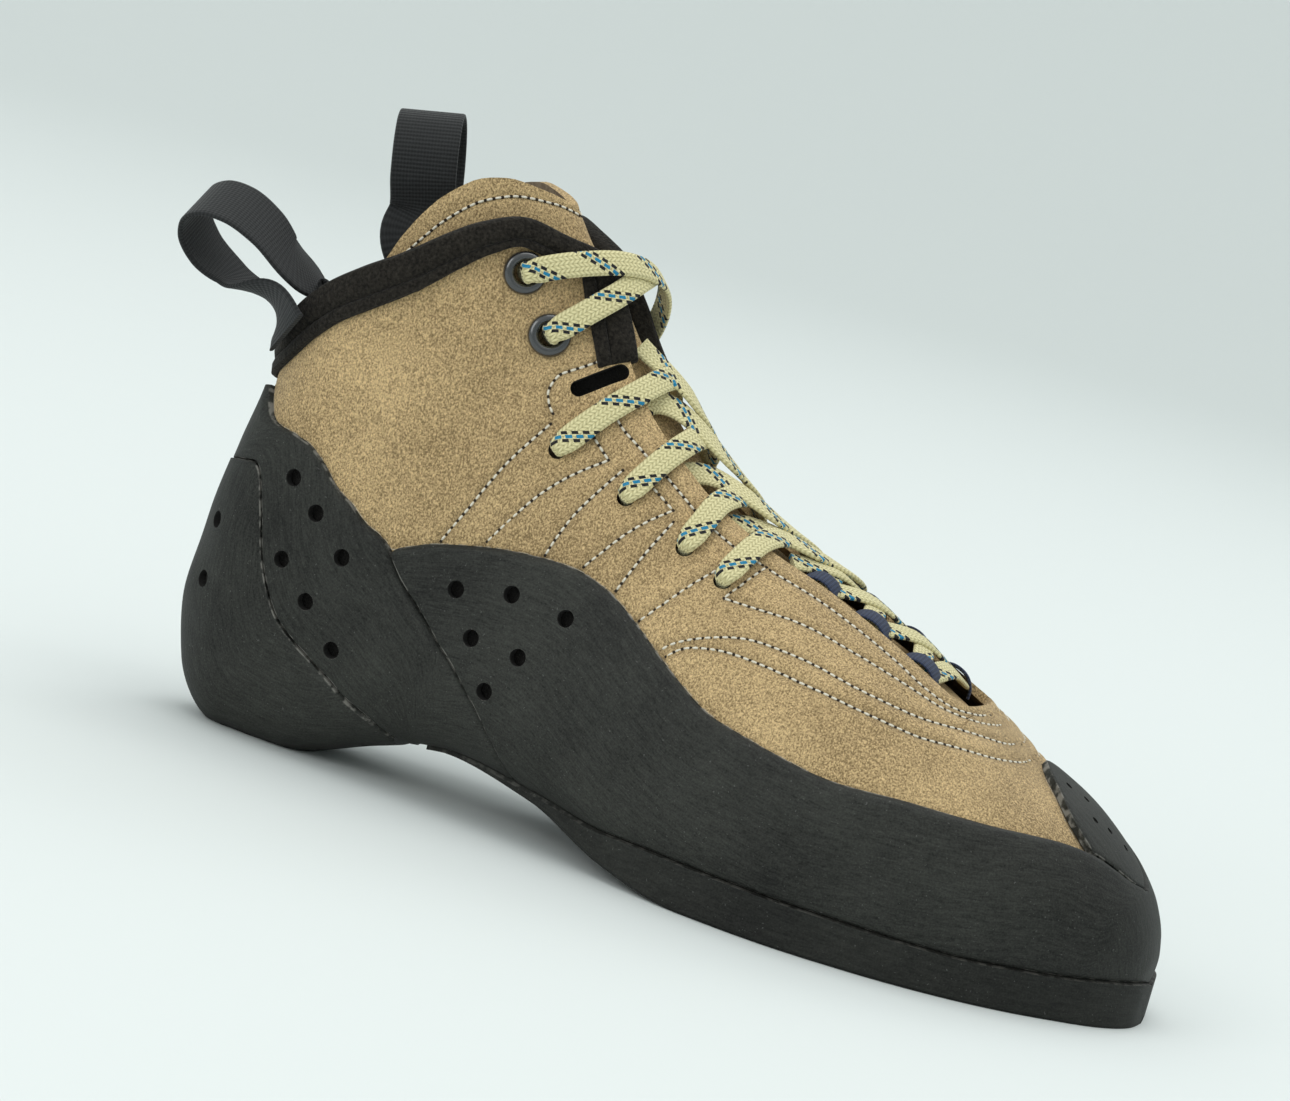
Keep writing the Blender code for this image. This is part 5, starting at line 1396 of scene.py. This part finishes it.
# %% Strands through holes
def through_hole(s, g, toward, bore):
    """Points, outward directions and sizes of the lace as it rises through a hole and turns over."""
    rim_height = EYELET_RIM if bore == EYELET_BORE else 0.0
    centre, n = last(s, g), outward(s, g)
    d = toward - centre
    d = d - n * (d @ n)
    d /= np.linalg.norm(d)
    rows = ((-4.2, .1, 0, bore, 2.6), (-1.2, .1, 0, bore, 2.4),
            (.55 + rim_height, .15, .45, bore + 1.1, 2.3),
            (1.4 + rim_height, 1.2, .85, LACE_WIDTH - .9, 2.0),
            (1.4 + rim_height, 3.0, 1, LACE_WIDTH, LACE_THICKNESS))
    points = [centre + n * h + d * f for h, f, _, _, _ in rows]
    outs = [n * k - d * (1 - k) for _, _, k, _, _ in rows]
    return points, outs, [(w, t) for *_, w, t in rows]


def strand(way, holes, count=70, bore=PUNCHED_BORE):
    """Tube through the hole points at the ends named in holes, and the way's points between."""
    s, g, height = np.array(way, float).T
    points, outs = list(layer(s, g, height)), list(outward(s, g))
    sizes = [(LACE_WIDTH, LACE_THICKNESS)] * len(points)
    if "start" in holes:
        p, o, z = through_hole(s[0], g[0], points[1], bore)
        points, outs, sizes = p + points[1:], o + outs[1:], z + sizes[1:]
    if "end" in holes:
        p, o, z = through_hole(s[-1], g[-1], points[-2], bore)
        points, outs, sizes = points[:-1] + p[::-1], outs[:-1] + o[::-1], sizes[:-1] + z[::-1]
    rows = np.concatenate([np.array(points), np.array(outs) * 12, np.array(sizes) * 1.5], 1)
    fine = spline(rows, count)
    centre, out, size = fine[:, :3], fine[:, 3:6], fine[:, 6:] / 1.5
    out /= np.linalg.norm(out, axis=1, keepdims=True)
    return braid_tube(centre, out, size[:, 0], size[:, 1], 0.0)


def lace_piece(name, node, tubes):
    """One mesh from several tubes; the first column of the last UV row is a tube's length."""
    global lace_length
    points, faces = join_parts([(p, f) for p, f, _ in tubes])
    uv = np.concatenate([u for _, _, u in tubes])
    lace_length += sum(float(u[-1, 0] - u[0, 0]) for _, _, u in tubes) / MM
    made = piece(name, points, faces, (lace_braid,), uv[faces], sharp=70)
    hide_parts(node)


def flap_way(outer, hole_s, hole_g, over_s, under_s):
    """Hole, over its own flap's edge, across the ridge, and under the other flap."""
    tucked = under_s < THROAT_BINDING[0][0] - (INNER_TAB_DROP if outer else 0) - .45
    over, near, far = GAP + LACE_THICKNESS / 2, float(along(THROAT, over_s)), float(along(THROAT, under_s))
    under = -SUEDE - over
    hole_g = hole_g if outer else 1 - hole_g
    share, ridge = (.5, -.8) if outer else (.3, -.8 + LACE_THICKNESS - .1)
    way = [(hole_s, hole_g, over), ((hole_s + over_s) / 2, (hole_g + near) / 2, over + .5),
           (over_s, near - .006, over + .3), (over_s + share * (under_s - over_s), .5, ridge),
           (under_s, 1 - far - (.014 if tucked else .028), under + .3)]
    if tucked:
        way.append((under_s + .25, 1 - far + .024, under))
    return way if outer else [(s, 1 - g, h) for s, g, h in way]


print("the first strand touches", len(flap_way(True, *CROSSINGS[0][1:5])), "places on its way")

# %% [markdown]
# The lacing itself is a table: where each strand starts, where it leaves its flap and where it
# dips under the other. The lower four pairs cross in the open, the top one turns in the eyelets,
# and near the toe the lace zigzags through the webbing loops.

# %% The lacing
for name, *numbers in CROSSINGS:
    tubes = [strand(flap_way(True, *numbers[:4]), ("start",)),
             strand(flap_way(False, *numbers[4:]), ("start",))]
    lace_piece(name + "_braid", name, tubes)
lace_piece("lace_5_braid", "lace_5", [strand(TOP_UNDER, ("start", "end"), 90, EYELET_BORE),
                                      strand(TOP_OVER, ("start", "end"), 110, EYELET_BORE)])

deep = -SUEDE - LACE_THICKNESS / 2 + 1.0
crown = deep + .9
(outer_row, inner_row), *_ = LOW_ROWS
low_ways = [((outer_row - .12, .463, deep), ((outer_row + inner_row) / 2 - .1, .5, crown),
             (inner_row - .1, .537, deep))]
rows_up = LOW_ROWS + ((10.0, 9.5),)
for (a, b), (c, d) in zip(rows_up[:-1], rows_up[1:]):
    low_ways.append(((a + .03, .463, deep + .4), ((a + d) / 2, .5, crown - .1),
                     (d - .03, .537, deep - .1)))
    low_ways.append(((c - .03, .463, deep + .1), ((b + c) / 2, .5, crown + .9),
                     (b + .03, .537, deep + .4)))
low_tubes = []
for way in low_ways:
    s, g, h = np.array(way).T
    fine = spline(np.concatenate([layer(s, g, h), outward(s, g) * 12], 1), 30)
    low_tubes.append(braid_tube(fine[:, :3], fine[:, 3:] / 12, np.full(30, LOW_WIDTH),
                                np.full(30, LOW_THICKNESS), LOW_START))
lace_piece("lace_low_braid", "lace_low", low_tubes)
print("lace shown", round(lace_length), "mm")

# %% [markdown]
# Near the toe the lace runs through three pairs of webbing loops instead of holes, and at the
# ankle through eyelets. An eyelet is turned, so its profile is carried round a circle.

# %% Webbing loops and eyelets
def webbing(name, node, row, girth):
    half = .29
    low, high = -SUEDE - LACE_THICKNESS - GAP, -SUEDE + LACE_THICKNESS + .1
    shoulder = .4 * low + .6 * high
    way = np.array([(row + share * half, girth, height) for share, height in (
        (-1, low), (-.8, shoulder), (-.5, high), (.5, high), (.8, shoulder), (1, low))])
    s, g, h = way.T
    fine = spline(np.concatenate([layer(s, g, h), outward(s, g) * 6], 1), 36)
    points, faces, uv = braid_tube(fine[:, :3], fine[:, 3:] / 6, np.full(36, 5.4), np.full(36, .8), 0.0)
    made = piece(name, points, faces, (loop_webbing,), uv[faces], sharp=70)
    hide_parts(node)


for number, (outer_s, inner_s) in enumerate(LOW_ROWS, 1):
    for side, row in (("outer", outer_s), ("inner", inner_s)):
        girth = float(along(THROAT, row)) + .012
        girth = girth if side == "outer" else 1 - girth
        webbing(f"webbing_{side}_{number}", f"lace_loop_{side}_{number}", row, girth)


def eyelet(name, node, s, g):
    """Rolled flange and barrel: radius and height pairs, smoothed and turned round the hole."""
    rows = ((2.75, -1.9), (2.75, .9), (2.95, 1.55), (3.5, 1.9), (4.2, 1.86), (4.85, 1.5), (5.2, .8),
            (5.25, .25), (5.0, .12), (3.6, .12), (3.45, -.2), (3.45, -1.9))
    shape = spline(rows, 44)
    turn = 2 * np.pi * np.arange(56) / 56
    centre, axis = last(s, g), outward(s, g)
    first = np.cross(axis, (0.0, 0.0, 1.0))
    first /= np.linalg.norm(first)
    spoke = first * np.cos(turn)[:, None] + np.cross(axis, first) * np.sin(turn)[:, None]
    grid = centre + spoke[:, None] * shape[None, :, :1] + axis * shape[None, :, 1:]
    i, j = (k.ravel() for k in np.meshgrid(np.arange(56), np.arange(44), indexing="ij"))
    m, n = (i + 1) % 56, (j + 1) % 44
    a, b, c, d = i * 44 + j, m * 44 + j, m * 44 + n, i * 44 + n
    faces = np.concatenate([np.stack([a, b, c], 1), np.stack([a, c, d], 1)])
    made = piece(name, grid.reshape(-1, 3), faces, (eyelet_metal,), sharp=60)
    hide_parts(node)


for name, (s, g) in EYELETS.items():
    eyelet(name.replace("eyelet", "ring"), name, s, g)

# %% [markdown]
# The shoe with its skins on has to fill the same box as the packed solids, give or take the pile
# of the suede.
